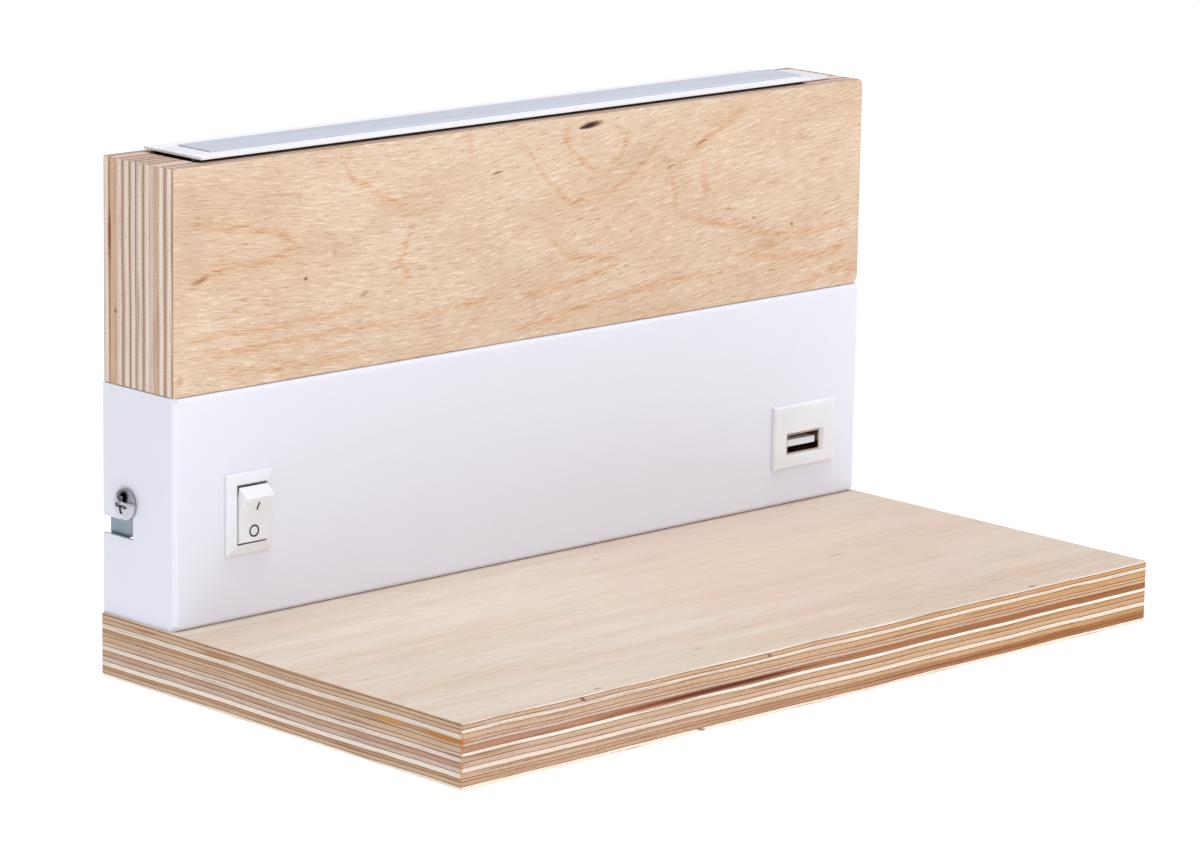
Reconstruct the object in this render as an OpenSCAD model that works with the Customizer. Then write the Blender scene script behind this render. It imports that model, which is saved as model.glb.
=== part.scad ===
// Wall lamp with shelf. Millimetres.
// The origin is the centre of the wall bracket's two wall holes, on the wall plane y = 0.
// X runs along the lamp, -Y points away from the wall, +Z is up.

/* [Lamp] */
// Width of the steel housing
lamp_w = 250; // [220:5:400]
// Play between wooden or steel pieces that are slid together
slide_gap = 0.3; // [0.2:0.05:0.5]
// Play between a screw and its hole, or between a pin and its bore
fit_gap = 0.05; // [0.03:0.01:0.1]

/* [Housing] */
// Height of the housing
housing_h = 60.5; // [55:0.5:90]
// Depth of the housing from the wall
housing_d = 28.8; // [27:0.2:45]
// Thickness of the folded steel sheet
sheet_t = 1; // [0.8:0.1:1.5]
// Outer radius of the bends
bend_r = 1.6; // [1.2:0.1:3]
// Depth of the dimple where three faces meet
corner_relief_depth = 0.5; // [0.3:0.1:0.7]

/* [Shelf] */
// Depth of the shelf from the wall
shelf_d = 138; // [100:2:220]
// Thickness of the shelf board
shelf_t = 17; // [15:0.5:25]
// How far each end of the shelf passes the housing
shelf_overhang = 0.75; // [0:0.25:5]
// Radius of the sanded edges of the wood
sanded_r = 0.5; // [0.3:0.1:2]

/* [Wooden block] */
// Height of the block above the housing
block_h = 58.5; // [45:0.5:90]
// Depth of the block from the wall
block_d = 28; // [26:0.5:45]
// How far each end of the block stands back from the housing's end
block_inset = 0.25; // [0:0.05:2]

/* [Wall bracket] */
// Height of the bracket strip
bracket_h = 20; // [16:1:24]
// Thickness of the bracket strip
bracket_t = 1.5; // [1:0.1:2]
// Gap between a bent end and the inside of the housing
bracket_gap = 0.5; // [0.3:0.1:1]
// Length of the bent ends, from the wall
bracket_reach = 13; // [12.5:0.5:15]
// Inside radius of the bracket's bends
bracket_bend_r = 0.2; // [0.1:0.1:1.5]
// Radius of the bent ends' front corners
bracket_corner_r = 7.5; // [1:0.5:7.5]
// Distance between the two wall holes
wall_hole_spacing = 120; // [80:5:160]
// Diameter of the wall holes
wall_hole_d = 5; // [4:0.5:7]

/* [Hook] */
// Distance of the hook screws from the wall
hook_y = 9.7; // [9.5:0.1:10.5]
// Height that the lamp is lifted to leave the hook screws
hook_lift = 6.8; // [6:0.1:8]
// Width of the hook slots' upright legs
hook_slot_w = 4.8; // [4.3:0.1:5]
// Height of the hook slots' mouths at the rear edge
hook_mouth_h = 4.6; // [4.5:0.1:5]
// Diameter of the hook screws' shanks
hook_shank_d = 4; // [3.5:0.1:4]
// Diameter of the hook screws' heads
hook_head_d = 8.2; // [7.5:0.1:9]
// Height of the hook screws' heads
hook_head_h = 2.1; // [1.8:0.1:3]
// Length of the hook screws below the head
hook_screw_l = 7; // [6:0.5:10]

/* [Wood screws] */
// Shank diameter
wood_screw_d = 4; // [3:0.5:4.5]
// Head diameter
wood_head_d = 7.5; // [6:0.5:8]
// Head height
wood_head_h = 2.6; // [2:0.1:3]
// Length below the head
wood_screw_l = 15; // [10:1:16]
// Distance of the outer screws from the housing's ends
outer_screw_end = 9; // [7:0.5:10]
// Distance of the block's inner screws from the middle
block_screw_x = 45; // [20:1:90]
// Distance of the shelf's inner screws from the middle
shelf_screw_x = 74; // [70:1:78]
// Distance of the wood screws from the wall
wood_screw_y = 14; // [12:0.5:16]

/* [Switch] */
// Distance of the switch's middle from the housing's left end
switch_end = 23.7; // [20:0.1:29]
// Height of the switch's middle
switch_z = -2.05; // [-6:0.05:4]
// Width of the bezel
bezel_w = 15; // [14.6:0.1:17]
// Height of the bezel
bezel_h = 21.1; // [20.7:0.1:24]
// Thickness of the bezel at its outer edge
bezel_t = 1.2; // [1:0.1:1.5]
// Rise of the bezel from its outer edge to the lip round the rocker
bezel_crown = 1; // [0.6:0.1:1.2]
// Width of that lip
bezel_lip = 0.4; // [0.2:0.1:0.6]
// Width of the switch case behind the sheet
case_w = 13.2; // [12.6:0.1:13.4]
// Height of the switch case behind the sheet
case_h = 18.8; // [18.7:0.1:19.4]
// Distance of the switch case's back from the wall
case_back_y = 14; // [12:0.5:15]
// Width of the rocker
rocker_w = 9.3; // [8:0.1:9.5]
// Distance from the rocker's axis to its ends
rocker_r = 8.04; // [7.9:0.02:8.3]
// Distance from the bezel's lip back to the rocker's axis
rocker_depth = 3; // [2.8:0.1:3.2]
// How far the rocker's pressed half stands out of the lip
rocker_proud = 0.75; // [0.5:0.05:1]
// Full swing of the rocker, in degrees
rocker_swing = 26; // [20:1:28]
// Diameter of the rocker's pivot pins
trunnion_d = 2.4; // [2:0.1:3]

/* [USB port] */
// Distance of the port's middle from the housing's right end
usb_end = 22.4; // [19:0.1:25]
// Height of the plate's middle
usb_plate_z = -10.4; // [-12:0.1:-9]
// Width of the plate
usb_plate_w = 24.4; // [24:0.2:28]
// Height of the plate
usb_plate_h = 18.2; // [18:0.2:22]
// Thickness of the plate
usb_plate_t = 1.5; // [1.2:0.1:2]
// Radius of the plate's front edges
usb_plate_r = 0.9; // [0.4:0.1:1]
// Height of the socket's middle
usb_z = -12.6; // [-12.9:0.1:-11.8]
// Width of the funnel in the plate
usb_funnel_w = 15.1; // [14.5:0.1:16]
// Height of the funnel in the plate
usb_funnel_h = 6.6; // [6.5:0.1:7.5]
// Depth of the funnel
usb_funnel_d = 0.9; // [0.6:0.1:1.1]

/* [LED profile] */
// Width of the profile's flange
flange_w = 23; // [21:0.5:25]
// Thickness of the flange
flange_t = 0.7; // [0.5:0.1:1]
// Shadow gap between the flange and the wood
flange_lift = 0.75; // [0.3:0.05:1]
// Distance of the profile's middle from the wall
profile_y = 13.9; // [13:0.1:16]
// Outer width of the profile's trough
trough_w = 17.4; // [17:0.1:18]
// Depth of the trough in the wood
trough_d = 7; // [6.5:0.5:9]
// Wall of the trough
trough_wall = 1.2; // [1:0.1:1.3]
// Width of the mouth between the lips
mouth_w = 13.4; // [13:0.1:13.8]
// Distance from the lamp's left end to the profile's left end
profile_left = 11.5; // [10:0.5:20]
// Distance from the lamp's right end to the profile's right end
profile_right = 19.5; // [18:0.5:30]
// Distance from the profile's left end to the diffuser's left end
diffuser_start = 7; // [6.5:0.1:8]
// How far the diffuser passes the profile's right end
diffuser_pass = 2; // [1:0.5:3]
// Height of the diffuser above the flange
diffuser_rise = 0.4; // [0.3:0.1:1]
// Length of the plate on the right end plug
plug_plate_l = 12.8; // [10:0.2:14]
// Width of that plate
plug_plate_w = 18.4; // [17:0.2:21]

/* [LED strip] */
// Distance between LEDs
led_pitch = 16.6; // [8:0.2:17]
// Width of the strip
strip_w = 8; // [6:1:10]

/* [Hidden] */
$fn = 48;
eps = 0.01;

// Main planes
half_w = lamp_w / 2;
top_z = housing_h / 2;
bottom_z = -top_z;
front_y = -housing_d;
inner_top_z = top_z - sheet_t;
inner_bottom_z = bottom_z + sheet_t;
block_top_z = top_z + block_h;
block_half_w = half_w - block_inset;
shelf_half_w = half_w + shelf_overhang;
outer_screw_x = half_w - outer_screw_end;
corner_relief_r = bend_r * (sqrt(3) - 1) + corner_relief_depth;
switch_x = half_w - switch_end;
usb_x = half_w - usb_end;

// Hook
hook_head_x = half_w + slide_gap;
hook_mouth_z = -hook_lift;
tab_outer_x = half_w - sheet_t - bracket_gap;
bracket_outer_r = bracket_bend_r + bracket_t;
dome_rim = 0.8;

// Switch
lip_y = front_y - bezel_t - bezel_crown;
pivot_y = lip_y + rocker_depth;
rocker_gap = 0.32;
half_swing = rocker_swing / 2;
valley_o = (rocker_depth + rocker_proud) / cos(half_swing);
window_w = rocker_w + 2 * rocker_gap;
window_r = rocker_r + rocker_gap;
window_h = 2 * sqrt(window_r * window_r - rocker_depth * rocker_depth);
valley_r = 8;
case_gap = 0.1;
blade_w = 4.8;
blade_t = 0.8;
blade_l = 7.5;
blade_root = 3;
blade_dz = 4.4;
mark_t = 0.08;

// USB port
shell_w = 13.1;
shell_h = 5.7;
shell_l = 13.4;
shell_wall = 0.3;
shell_y = front_y - usb_plate_t + usb_funnel_d;
tongue_w = 11.1;
tongue_t = 1.9;
tongue_l = 12.4;
board_t = 1.6;
board_w = 18;
board_l = 23.5;
board_front_y = front_y + 0.3;
board_top_z = usb_z - shell_h / 2;
board_bottom_z = board_top_z - board_t;
sleeve_wall = 1.2;
sleeve_half_h = usb_plate_z - board_bottom_z + sleeve_wall;
sleeve_w = board_w + 2 * slide_gap + 2 * sleeve_wall;
sleeve_l = 6.8;
contact_count = 4;
contact_pitch = 2.3;
contact_w = 1;
contact_t = 0.2;
contact_set_back = 1.5;
coil_d = 6;
coil_h = 4;
capacitor_d = 5;
capacitor_h = 8;
chip_l = 4;
chip_w = 2.2;
chip_h = 1.2;

// LED profile
flange_bottom_z = block_top_z + flange_lift;
flange_top_z = flange_bottom_z + flange_t;
groove_floor_z = block_top_z - trough_d;
trough_floor_z = groove_floor_z + trough_wall;
profile_x0 = -half_w + profile_left;
profile_x1 = half_w - profile_right;
diffuser_x0 = profile_x0 + diffuser_start;
diffuser_x1 = profile_x1 + diffuser_pass;
diffuser_top_z = flange_top_z + diffuser_rise;
diffuser_skin_z = block_top_z + 0.6;
lip_half = mouth_w / 2;
diffuser_half = lip_half - slide_gap;
trough_inner_half = trough_w / 2 - trough_wall;
plug_plate_z = block_top_z + 0.15;
plug_plate_t = 0.4;
plug_body_l = 4.2;
plug_shoulder_z = block_top_z - 0.5;
plug_undercut = 1.5;
plug_corner_r = 4;
plug_notch_h = 2;
strip_t = 0.3;
led_l = 3.5;
led_w = 2.8;
led_h = 0.8;
strip_x0 = diffuser_x0 + 7.2;
led_count = floor((profile_x1 - strip_x0 - led_l) / led_pitch);
strip_l = led_count * led_pitch + 1;
lead_hole_x = diffuser_x0 + 2.2;
lead_hole_r = 3;
grommet_neck_r = 4.4;
grommet_flange_r = 6;
grommet_flange_t = 1.2;

// Driver, terminal block and earth, all on the housing's floor
driver_x0 = -50;
driver_x1 = 34;
driver_y = -14.5;
driver_d = 22;
driver_h = 26;
driver_ear_l = 6;
driver_ear_t = 2;
small_screw_d = 3;
small_head_d = 5.6;
small_head_h = 2;
small_screw_l = 6;
terminal_x0 = 46;
terminal_l = 17;
terminal_d = 23;
terminal_h = 12;
terminal_base_h = 4;
terminal_screw_d = 2;
terminal_head_d = 3.6;
terminal_head_h = 1.6;
terminal_screw_l = 8;
pole_pitch = 8;
pole_w = 6;
pole_set_back = 1;
pole_z = inner_bottom_z + 6;
clamp_r = 2;
clamp_bore_r = 1.3;
clamp_l = 14;
clamp_screw_r = 1.4;
clamp_screw_l = 4;
clamp_screw_dx = 4.2;
clamp_screw_dz = 1.1;
screw_slot_w = 0.4;
screw_slot_d = 0.7;
stud_x = outer_screw_x - 9;
stud_r = 2;
stud_l = 8;
tag_r = 4;
tag_t = 0.8;
tag_barrel_r = 1.6;
tag_barrel_l = 6;
tag_overlap = 0.1;
nut_af = 7;
nut_h = 3.2;

// Leads
mains_lead_r = 1;
lead_r = 0.8;
lead_sides = 8;
lead_steps = 3;
lead_spread = 0.95;

// ---- Helpers ----

// A box between two corners, given as ranges along X, Y and Z
module bar(xs, ys, zs)
    translate([xs[0], ys[0], zs[0]])
        cube([xs[1] - xs[0], ys[1] - ys[0], zs[1] - zs[0]]);

// Runs a drawing in Y and Z along X, centred
module x_prism(length)
    rotate([90, 0, 90])
        linear_extrude(height = length, center = true)
            children();

// Runs a drawing in X and Z along Y, from y0 to y1
module y_prism(y0, y1)
    translate([0, y1, 0])
        rotate([90, 0, 0])
            linear_extrude(height = y1 - y0)
                children();

// A rectangle with round corners, from its lowest to its highest corner
module round_rect(low, high, r) {
    translate([low[0] + r, low[1]])
        square([high[0] - low[0] - 2 * r, high[1] - low[1]]);
    translate([low[0], low[1] + r])
        square([high[0] - low[0], high[1] - low[1] - 2 * r]);
    for (x = [low[0] + r, high[0] - r], y = [low[1] + r, high[1] - r])
        translate([x, y]) circle(r);
}

// A board with all its edges rounded
module soft_board(xs, ys, zs, r)
    intersection() {
        translate([0, 0, zs[0]])
            linear_extrude(height = zs[1] - zs[0])
                round_rect([xs[0], ys[0]], [xs[1], ys[1]], r);
        x_prism(2 * max(abs(xs[0]), abs(xs[1])) + 1)
            round_rect([ys[0], zs[0]], [ys[1], zs[1]], r);
        y_prism(ys[0] - 1, ys[1] + 1)
            round_rect([xs[0], zs[0]], [xs[1], zs[1]], r);
    }

// A plate on the housing's front with rounded front edges; its back is at y = 0
module soft_plate(w, h, t, r)
    intersection() {
        bar([-w / 2, w / 2], [-t, 0], [-h / 2, h / 2]);
        x_prism(w + 1)
            round_rect([-t, -h / 2], [t, h / 2], r);
        translate([0, 0, -h / 2 - 1])
            linear_extrude(height = h + 2)
                round_rect([-w / 2, -t], [w / 2, t], r);
    }

// A domed screw with a cross recess: the head is above z = 0 and the shank below it
module domed_screw(head_d, head_h, shank_d, shank_l) {
    dome_h = head_h - min(dome_rim, head_h / 3);
    dome_r = (head_d * head_d / 4 + dome_h * dome_h) / (2 * dome_h);
    recess_w = head_d * 0.13;
    recess_l = head_d * 0.55;
    difference() {
        union() {
            intersection() {
                cylinder(d = head_d, h = head_h);
                translate([0, 0, head_h - dome_r]) sphere(r = dome_r);
            }
            translate([0, 0, -shank_l]) cylinder(d = shank_d, h = shank_l + eps);
        }
        for (turn = [0, 90])
            rotate([0, 0, turn])
                bar([-recess_l / 2, recess_l / 2], [-recess_w / 2, recess_w / 2],
                    [head_h * 0.45, head_h + 1]);
    }
}

// A smooth path through hand-set points
function bend(a, b, c, d, t) =
    0.5 * (2 * b + (c - a) * t + (2 * a - 5 * b + 4 * c - d) * t * t
        + (3 * b - a - 3 * c + d) * t * t * t);
function smooth_path(p, steps) = [
    for (i = [0 : len(p) - 2], s = [0 : steps - 1])
        bend(p[max(i - 1, 0)], p[i], p[i + 1], p[min(i + 2, len(p) - 1)], s / steps),
    p[len(p) - 1]
];
function unit(v) = v / norm(v);

// A round lead swept along a path; side is a direction that the path never takes
module lead(points, r, side) {
    path = smooth_path(points, lead_steps);
    last = len(path) - 1;
    rings = [for (i = [0 : last])
        let (along = i == 0 ? unit(points[1] - points[0])
                 : i == last ? unit(points[len(points) - 1] - points[len(points) - 2])
                 : unit(path[i + 1] - path[i - 1]),
             across = unit(cross(along, side)),
             up = cross(across, along))
        for (k = [0 : lead_sides - 1])
            path[i] + r * (cos(360 * k / lead_sides) * across + sin(360 * k / lead_sides) * up)];
    walls = [for (i = [0 : last - 1], k = [0 : lead_sides - 1])
        let (a = i * lead_sides + k, b = i * lead_sides + (k + 1) % lead_sides)
        for (face = [[a, b, b + lead_sides], [a, b + lead_sides, a + lead_sides]]) face];
    caps = [for (k = [1 : lead_sides - 2])
        for (face = [[0, k + 1, k],
                     [last * lead_sides, last * lead_sides + k, last * lead_sides + k + 1]]) face];
    polyhedron(points = rings, faces = concat(walls, caps));
}

// ---- Wall bracket ----

// Strip with its ends bent forward, drawn in plan
module bracket_plan() {
    difference() {
        round_rect([-tab_outer_x, -bracket_reach - 4], [tab_outer_x, 0], bracket_outer_r);
        round_rect([-tab_outer_x + bracket_t, -bracket_reach - 8],
                   [tab_outer_x - bracket_t, -bracket_t], bracket_bend_r);
    }
}

module wall_bracket()
    color("lightslategray")
    difference() {
        intersection() {
            translate([0, 0, -bracket_h / 2])
                linear_extrude(height = bracket_h) bracket_plan();
            x_prism(lamp_w)
                round_rect([-bracket_reach, -bracket_h / 2], [bracket_reach, bracket_h / 2],
                           bracket_corner_r);
        }
        for (side = [-1, 1]) {
            translate([side * wall_hole_spacing / 2, 1, 0])
                rotate([90, 0, 0]) cylinder(d = wall_hole_d, h = bracket_t + 2);
            translate([side * tab_outer_x, -hook_y, 0])
                rotate([0, 90, 0])
                    cylinder(d = hook_shank_d + 2 * fit_gap, h = 4 * bracket_t, center = true);
        }
    }

module hook_screws()
    color("gainsboro")
    for (side = [-1, 1])
        translate([side * hook_head_x, -hook_y, 0])
            rotate([0, side * 90, 0])
                domed_screw(hook_head_d, hook_head_h, hook_shank_d, hook_screw_l);

// ---- Housing ----

// The folded box, open at the back; inset is 0 for its outside and sheet_t for its inside
module folded_form(inset)
    intersection() {
        translate([0, 0, bottom_z + inset])
            linear_extrude(height = housing_h - 2 * inset)
                round_rect([-half_w + inset, front_y + inset], [half_w - inset, housing_d],
                           bend_r - inset);
        x_prism(lamp_w - 2 * inset)
            round_rect([front_y + inset, bottom_z + inset], [housing_d, top_z - inset],
                       bend_r - inset);
    }

// L-shaped hook slot: a mouth at the rear edge and a leg up to the hook screw
module hook_slot() {
    leg = [-hook_y - hook_slot_w / 2, -hook_y + hook_slot_w / 2];
    x_prism(4 * sheet_t) {
        translate([leg[0], hook_mouth_z - hook_mouth_h / 2])
            square([1 - leg[0], hook_mouth_h]);
        translate([leg[0], hook_mouth_z])
            square([leg[1] - leg[0], hook_lift]);
        translate([-hook_y, 0]) circle(d = hook_slot_w);
    }
}

module housing()
    color("ghostwhite")
    difference() {
        intersection() {
            folded_form(0);
            bar([-lamp_w, lamp_w], [-2 * housing_d, 0], [-housing_h, housing_h]);
        }
        folded_form(sheet_t);
        for (side = [-1, 1]) {
            translate([side * (half_w - sheet_t / 2), 0, 0]) hook_slot();
            for (z = [top_z, bottom_z])
                translate([side * half_w, front_y, z]) sphere(r = corner_relief_r);
        }
        translate([0, 0, -sheet_t])
            screw_holes(block_screw_points(top_z), wood_screw_d + 2 * slide_gap);
        screw_holes(shelf_screw_points(inner_bottom_z), wood_screw_d + 2 * slide_gap);
        screw_holes(driver_screw_points(inner_bottom_z), small_screw_d + 2 * slide_gap);
        screw_holes([terminal_screw_point(inner_bottom_z)], terminal_screw_d + 2 * slide_gap);
        translate([lead_hole_x, -profile_y, inner_top_z - 1])
            cylinder(r = grommet_neck_r + fit_gap, h = sheet_t + 2);
        translate([-switch_x, front_y - 1, switch_z])
            bar([-case_w / 2 - case_gap, case_w / 2 + case_gap], [0, sheet_t + 2],
                [-case_h / 2 - case_gap, case_h / 2 + case_gap]);
        translate([usb_x, front_y - 1, usb_plate_z])
            bar([-sleeve_w / 2 - case_gap, sleeve_w / 2 + case_gap], [0, sheet_t + 2],
                [-sleeve_half_h - case_gap, sleeve_half_h + case_gap]);
    }

// ---- Wood ----

// Screw centres, on the height of the sheet that they pass
function block_screw_points(z) =
    [for (x = [-outer_screw_x, -block_screw_x, block_screw_x, outer_screw_x]) [x, -wood_screw_y, z]];
function shelf_screw_points(z) =
    [for (x = [-outer_screw_x, -shelf_screw_x, shelf_screw_x, outer_screw_x]) [x, -wood_screw_y, z]];
function driver_screw_points(z) =
    [for (x = [driver_x0 - driver_ear_l / 2, driver_x1 + driver_ear_l / 2]) [x, driver_y, z]];
function terminal_screw_point(z) = [terminal_x0 + terminal_l / 2, driver_y + pole_pitch / 2, z];

// Holes down from each point, deep enough for the longest screw
module screw_holes(points, d)
    for (p = points)
        translate(p - [0, 0, wood_screw_l])
            cylinder(d = d, h = wood_screw_l + 2 * sheet_t + 1);

module wood_block()
    color("burlywood")
    difference() {
        soft_board([-block_half_w, block_half_w], [-block_d, 0], [top_z, block_top_z], sanded_r);
        bar([profile_x0 - slide_gap, profile_x1 + plug_body_l + 2 * slide_gap],
            [-profile_y - trough_w / 2 - slide_gap, -profile_y + trough_w / 2 + slide_gap],
            [groove_floor_z, block_top_z + 1]);
        translate([lead_hole_x, -profile_y, top_z - 1]) {
            cylinder(r = lead_hole_r, h = block_h);
            cylinder(r = grommet_flange_r + slide_gap, h = grommet_flange_t + 1 + slide_gap);
        }
        for (p = block_screw_points(top_z - 1))
            translate(p) cylinder(d = wood_screw_d + 2 * fit_gap, h = wood_screw_l + 1);
    }

module shelf_board()
    color("burlywood")
    difference() {
        soft_board([-shelf_half_w, shelf_half_w], [-shelf_d, 0], [bottom_z - shelf_t, bottom_z],
                   sanded_r);
        for (p = shelf_screw_points(bottom_z - wood_screw_l))
            translate(p) cylinder(d = wood_screw_d + 2 * fit_gap, h = wood_screw_l + 1);
        for (p = driver_screw_points(bottom_z - small_screw_l))
            translate(p) cylinder(d = small_screw_d + 2 * fit_gap, h = small_screw_l + 1);
        translate(terminal_screw_point(bottom_z - terminal_screw_l))
            cylinder(d = terminal_screw_d + 2 * fit_gap, h = terminal_screw_l + 1);
    }

// Screws up through the housing's top into the block
module block_screws()
    color("silver")
    for (p = block_screw_points(inner_top_z))
        translate(p)
            mirror([0, 0, 1]) domed_screw(wood_head_d, wood_head_h, wood_screw_d, wood_screw_l);

// Screws down through the housing's floor into the shelf
module shelf_screws()
    color("silver")
    for (p = shelf_screw_points(inner_bottom_z))
        translate(p) domed_screw(wood_head_d, wood_head_h, wood_screw_d, wood_screw_l);

// ---- Switch ----

// The bezel's outline, as its rise and half its width: upright edge, slope, flat lip and back
function bezel_points(edge, lip) =
    [[0, edge], [bezel_t, edge], [bezel_t + bezel_crown, lip],
     [bezel_t + bezel_crown, -lip], [bezel_t, -edge], [0, -edge]];

// Bezel with four slopes that rise to a flat lip round the rocker; its back is at y = 0
module bezel()
    intersection() {
        x_prism(bezel_w + 1)
            polygon([for (p = bezel_points(bezel_h / 2, window_h / 2 + bezel_lip)) [-p[0], p[1]]]);
        translate([0, 0, -bezel_h])
            linear_extrude(height = 2 * bezel_h)
                polygon([for (p = bezel_points(bezel_w / 2, window_w / 2 + bezel_lip)) [p[1], -p[0]]]);
    }

// Bezel and case, open at the front round the rocker
module switch_case()
    color("white")
    difference() {
        union() {
            translate([-switch_x, front_y, switch_z]) bezel();
            translate([-switch_x, 0, switch_z])
                bar([-case_w / 2, case_w / 2], [front_y - eps, -case_back_y],
                    [-case_h / 2, case_h / 2]);
        }
        translate([-switch_x, 0, 0])
            x_prism(window_w)
                intersection() {
                    translate([pivot_y, switch_z]) circle(r = window_r);
                    translate([pivot_y - 2 * rocker_r, switch_z - 2 * rocker_r])
                        square([2 * rocker_r + trunnion_d + 2, 4 * rocker_r]);
                }
        translate([-switch_x, pivot_y, switch_z])
            rotate([0, 90, 0])
                cylinder(d = trunnion_d + 2 * fit_gap, h = case_w - 1, center = true);
        switch_terminals();
    }

// Two blades out of the case's back
module switch_terminals()
    color("goldenrod")
    for (dz = [-blade_dz, blade_dz])
        translate([-switch_x, -case_back_y, switch_z + dz])
            bar([-blade_w / 2, blade_w / 2], [-blade_root, blade_l], [-blade_t / 2, blade_t / 2]);

// Rocker profile in its own plane: first axis towards the wall, second axis up
module rocker_profile() {
    face_rise = tan(half_swing);
    fillet_v = valley_r * sin(half_swing) + valley_r * (1 - cos(half_swing)) * face_rise;
    back_o = 1.5;
    hub_half = 3;
    reach = 2 * rocker_r;
    difference() {
        intersection() {
            circle(r = rocker_r);
            polygon([
                [-back_o, reach], [-back_o, hub_half], [trunnion_d, hub_half],
                [trunnion_d, -hub_half], [-back_o, -hub_half], [-back_o, -reach],
                [-valley_o - face_rise * reach, -reach],
                [-valley_o - face_rise * fillet_v, -fillet_v],
                [-valley_o - face_rise * fillet_v, fillet_v],
                [-valley_o - face_rise * reach, reach]
            ]);
        }
        translate([-valley_o - valley_r / cos(half_swing), 0]) circle(r = valley_r);
    }
}

// Turns and places what is drawn in the rocker's own frame, at rest with its lower end pressed
module at_rocker()
    translate([-switch_x, pivot_y, switch_z])
        rotate([half_swing, 0, 0])
            children();

module switch_rocker()
    color("white")
    at_rocker() {
        x_prism(rocker_w) rocker_profile();
        rotate([0, 90, 0]) cylinder(d = trunnion_d, h = case_w - 1 - slide_gap, center = true);
    }

// A stroke on the upper half and a ring on the lower half, both thin prints on the flat faces
module rocker_marks()
    color("black")
    at_rocker() {
        on_half(1) square([0.45, 2.4], center = true);
        on_half(-1) difference() {
            circle(d = 3.2);
            circle(d = 2.4);
        }
    }

// Lays a flat drawing on the upper (1) or lower (-1) half of the rocker's face
module on_half(side) {
    mark_v = 3.5;
    translate([0, -valley_o - mark_v * tan(half_swing), side * mark_v])
        rotate([side * half_swing, 0, 0])
            rotate([90, 0, 0])
                linear_extrude(height = mark_t) children();
}

// ---- USB port ----

// A hole that narrows from the plate's face to the shell
module funnel(w0, h0, w1, h1, depth)
    intersection() {
        x_prism(w0 + 1)
            polygon([[-eps, -h0 / 2], [depth, -h1 / 2], [depth, h1 / 2], [-eps, h0 / 2]]);
        translate([0, 0, -h0])
            linear_extrude(height = 2 * h0)
                polygon([[-w0 / 2, -eps], [-w1 / 2, depth], [w1 / 2, depth], [w0 / 2, -eps]]);
    }

module usb_plate()
    color("white")
    difference() {
        union() {
            translate([usb_x, front_y, usb_plate_z])
                soft_plate(usb_plate_w, usb_plate_h, usb_plate_t, usb_plate_r);
            translate([usb_x, front_y, usb_plate_z])
                bar([-sleeve_w / 2, sleeve_w / 2], [-eps, sleeve_l],
                    [-sleeve_half_h, sleeve_half_h]);
        }
        translate([usb_x, front_y, usb_plate_z])
            bar([-sleeve_w / 2 + sleeve_wall, sleeve_w / 2 - sleeve_wall], [0, sleeve_l + 1],
                [-sleeve_half_h + sleeve_wall, sleeve_half_h - sleeve_wall]);
        translate([usb_x, front_y - usb_plate_t, usb_z]) {
            funnel(usb_funnel_w, usb_funnel_h, shell_w + 2 * case_gap, shell_h + 2 * case_gap,
                   usb_funnel_d);
            bar([-shell_w / 2 - case_gap, shell_w / 2 + case_gap],
                [usb_funnel_d - eps, usb_plate_t + 1],
                [-shell_h / 2 - case_gap, shell_h / 2 + case_gap]);
        }
    }

module usb_shell()
    color("silver")
    translate([usb_x, shell_y, usb_z])
        difference() {
            bar([-shell_w / 2, shell_w / 2], [0, shell_l], [-shell_h / 2, shell_h / 2]);
            bar([-shell_w / 2 + shell_wall, shell_w / 2 - shell_wall], [-1, shell_l - shell_wall],
                [-shell_h / 2 + shell_wall, shell_h / 2 - shell_wall]);
        }

// The plastic tongue, held by the shell's back
module usb_tongue()
    color("white")
    translate([usb_x, shell_y + shell_l - shell_wall, usb_z])
        bar([-tongue_w / 2, tongue_w / 2], [-tongue_l, 0], [-tongue_t / 2, tongue_t / 2]);

module usb_contacts()
    color("goldenrod")
    for (i = [0 : contact_count - 1])
        translate([usb_x + (i - (contact_count - 1) / 2) * contact_pitch,
                   shell_y + shell_l - shell_wall, usb_z - tongue_t / 2])
            bar([-contact_w / 2, contact_w / 2], [-tongue_l + contact_set_back, 0], [-contact_t, 0]);

module usb_board()
    color("seagreen")
    bar([usb_x - board_w / 2, usb_x + board_w / 2], [board_front_y, board_front_y + board_l],
        [board_bottom_z, board_top_z]);

// Coil, capacitor and chip on the board behind the shell
module usb_board_parts()
    color("dimgray")
    translate([usb_x, board_front_y + board_l, board_top_z]) {
        translate([1 - coil_d / 2, -1 - coil_d / 2, 0]) cylinder(d = coil_d, h = coil_h);
        translate([3 + capacitor_d / 2, -1 - capacitor_d / 2, 0])
            cylinder(d = capacitor_d, h = capacitor_h);
        translate([-1.5, -1.4 - coil_d - chip_w, 0]) cube([chip_l, chip_w, chip_h]);
    }

// ---- LED profile ----

// The profile's cross-section about its middle, in Y and Z
module profile_section()
    difference() {
        union() {
            translate([-profile_y - flange_w / 2, flange_bottom_z]) square([flange_w, flange_t]);
            translate([-profile_y - trough_w / 2, groove_floor_z])
                square([trough_w, flange_bottom_z - groove_floor_z + flange_t]);
        }
        translate([-profile_y - trough_inner_half, trough_floor_z])
            square([2 * trough_inner_half, flange_bottom_z - trough_floor_z]);
        translate([-profile_y - lip_half, trough_floor_z])
            square([2 * lip_half, flange_top_z - trough_floor_z + 1]);
    }

// Runs a section along X between two ends
module run(x0, x1)
    translate([(x0 + x1) / 2, 0, 0])
        x_prism(x1 - x0)
            children();

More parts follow.
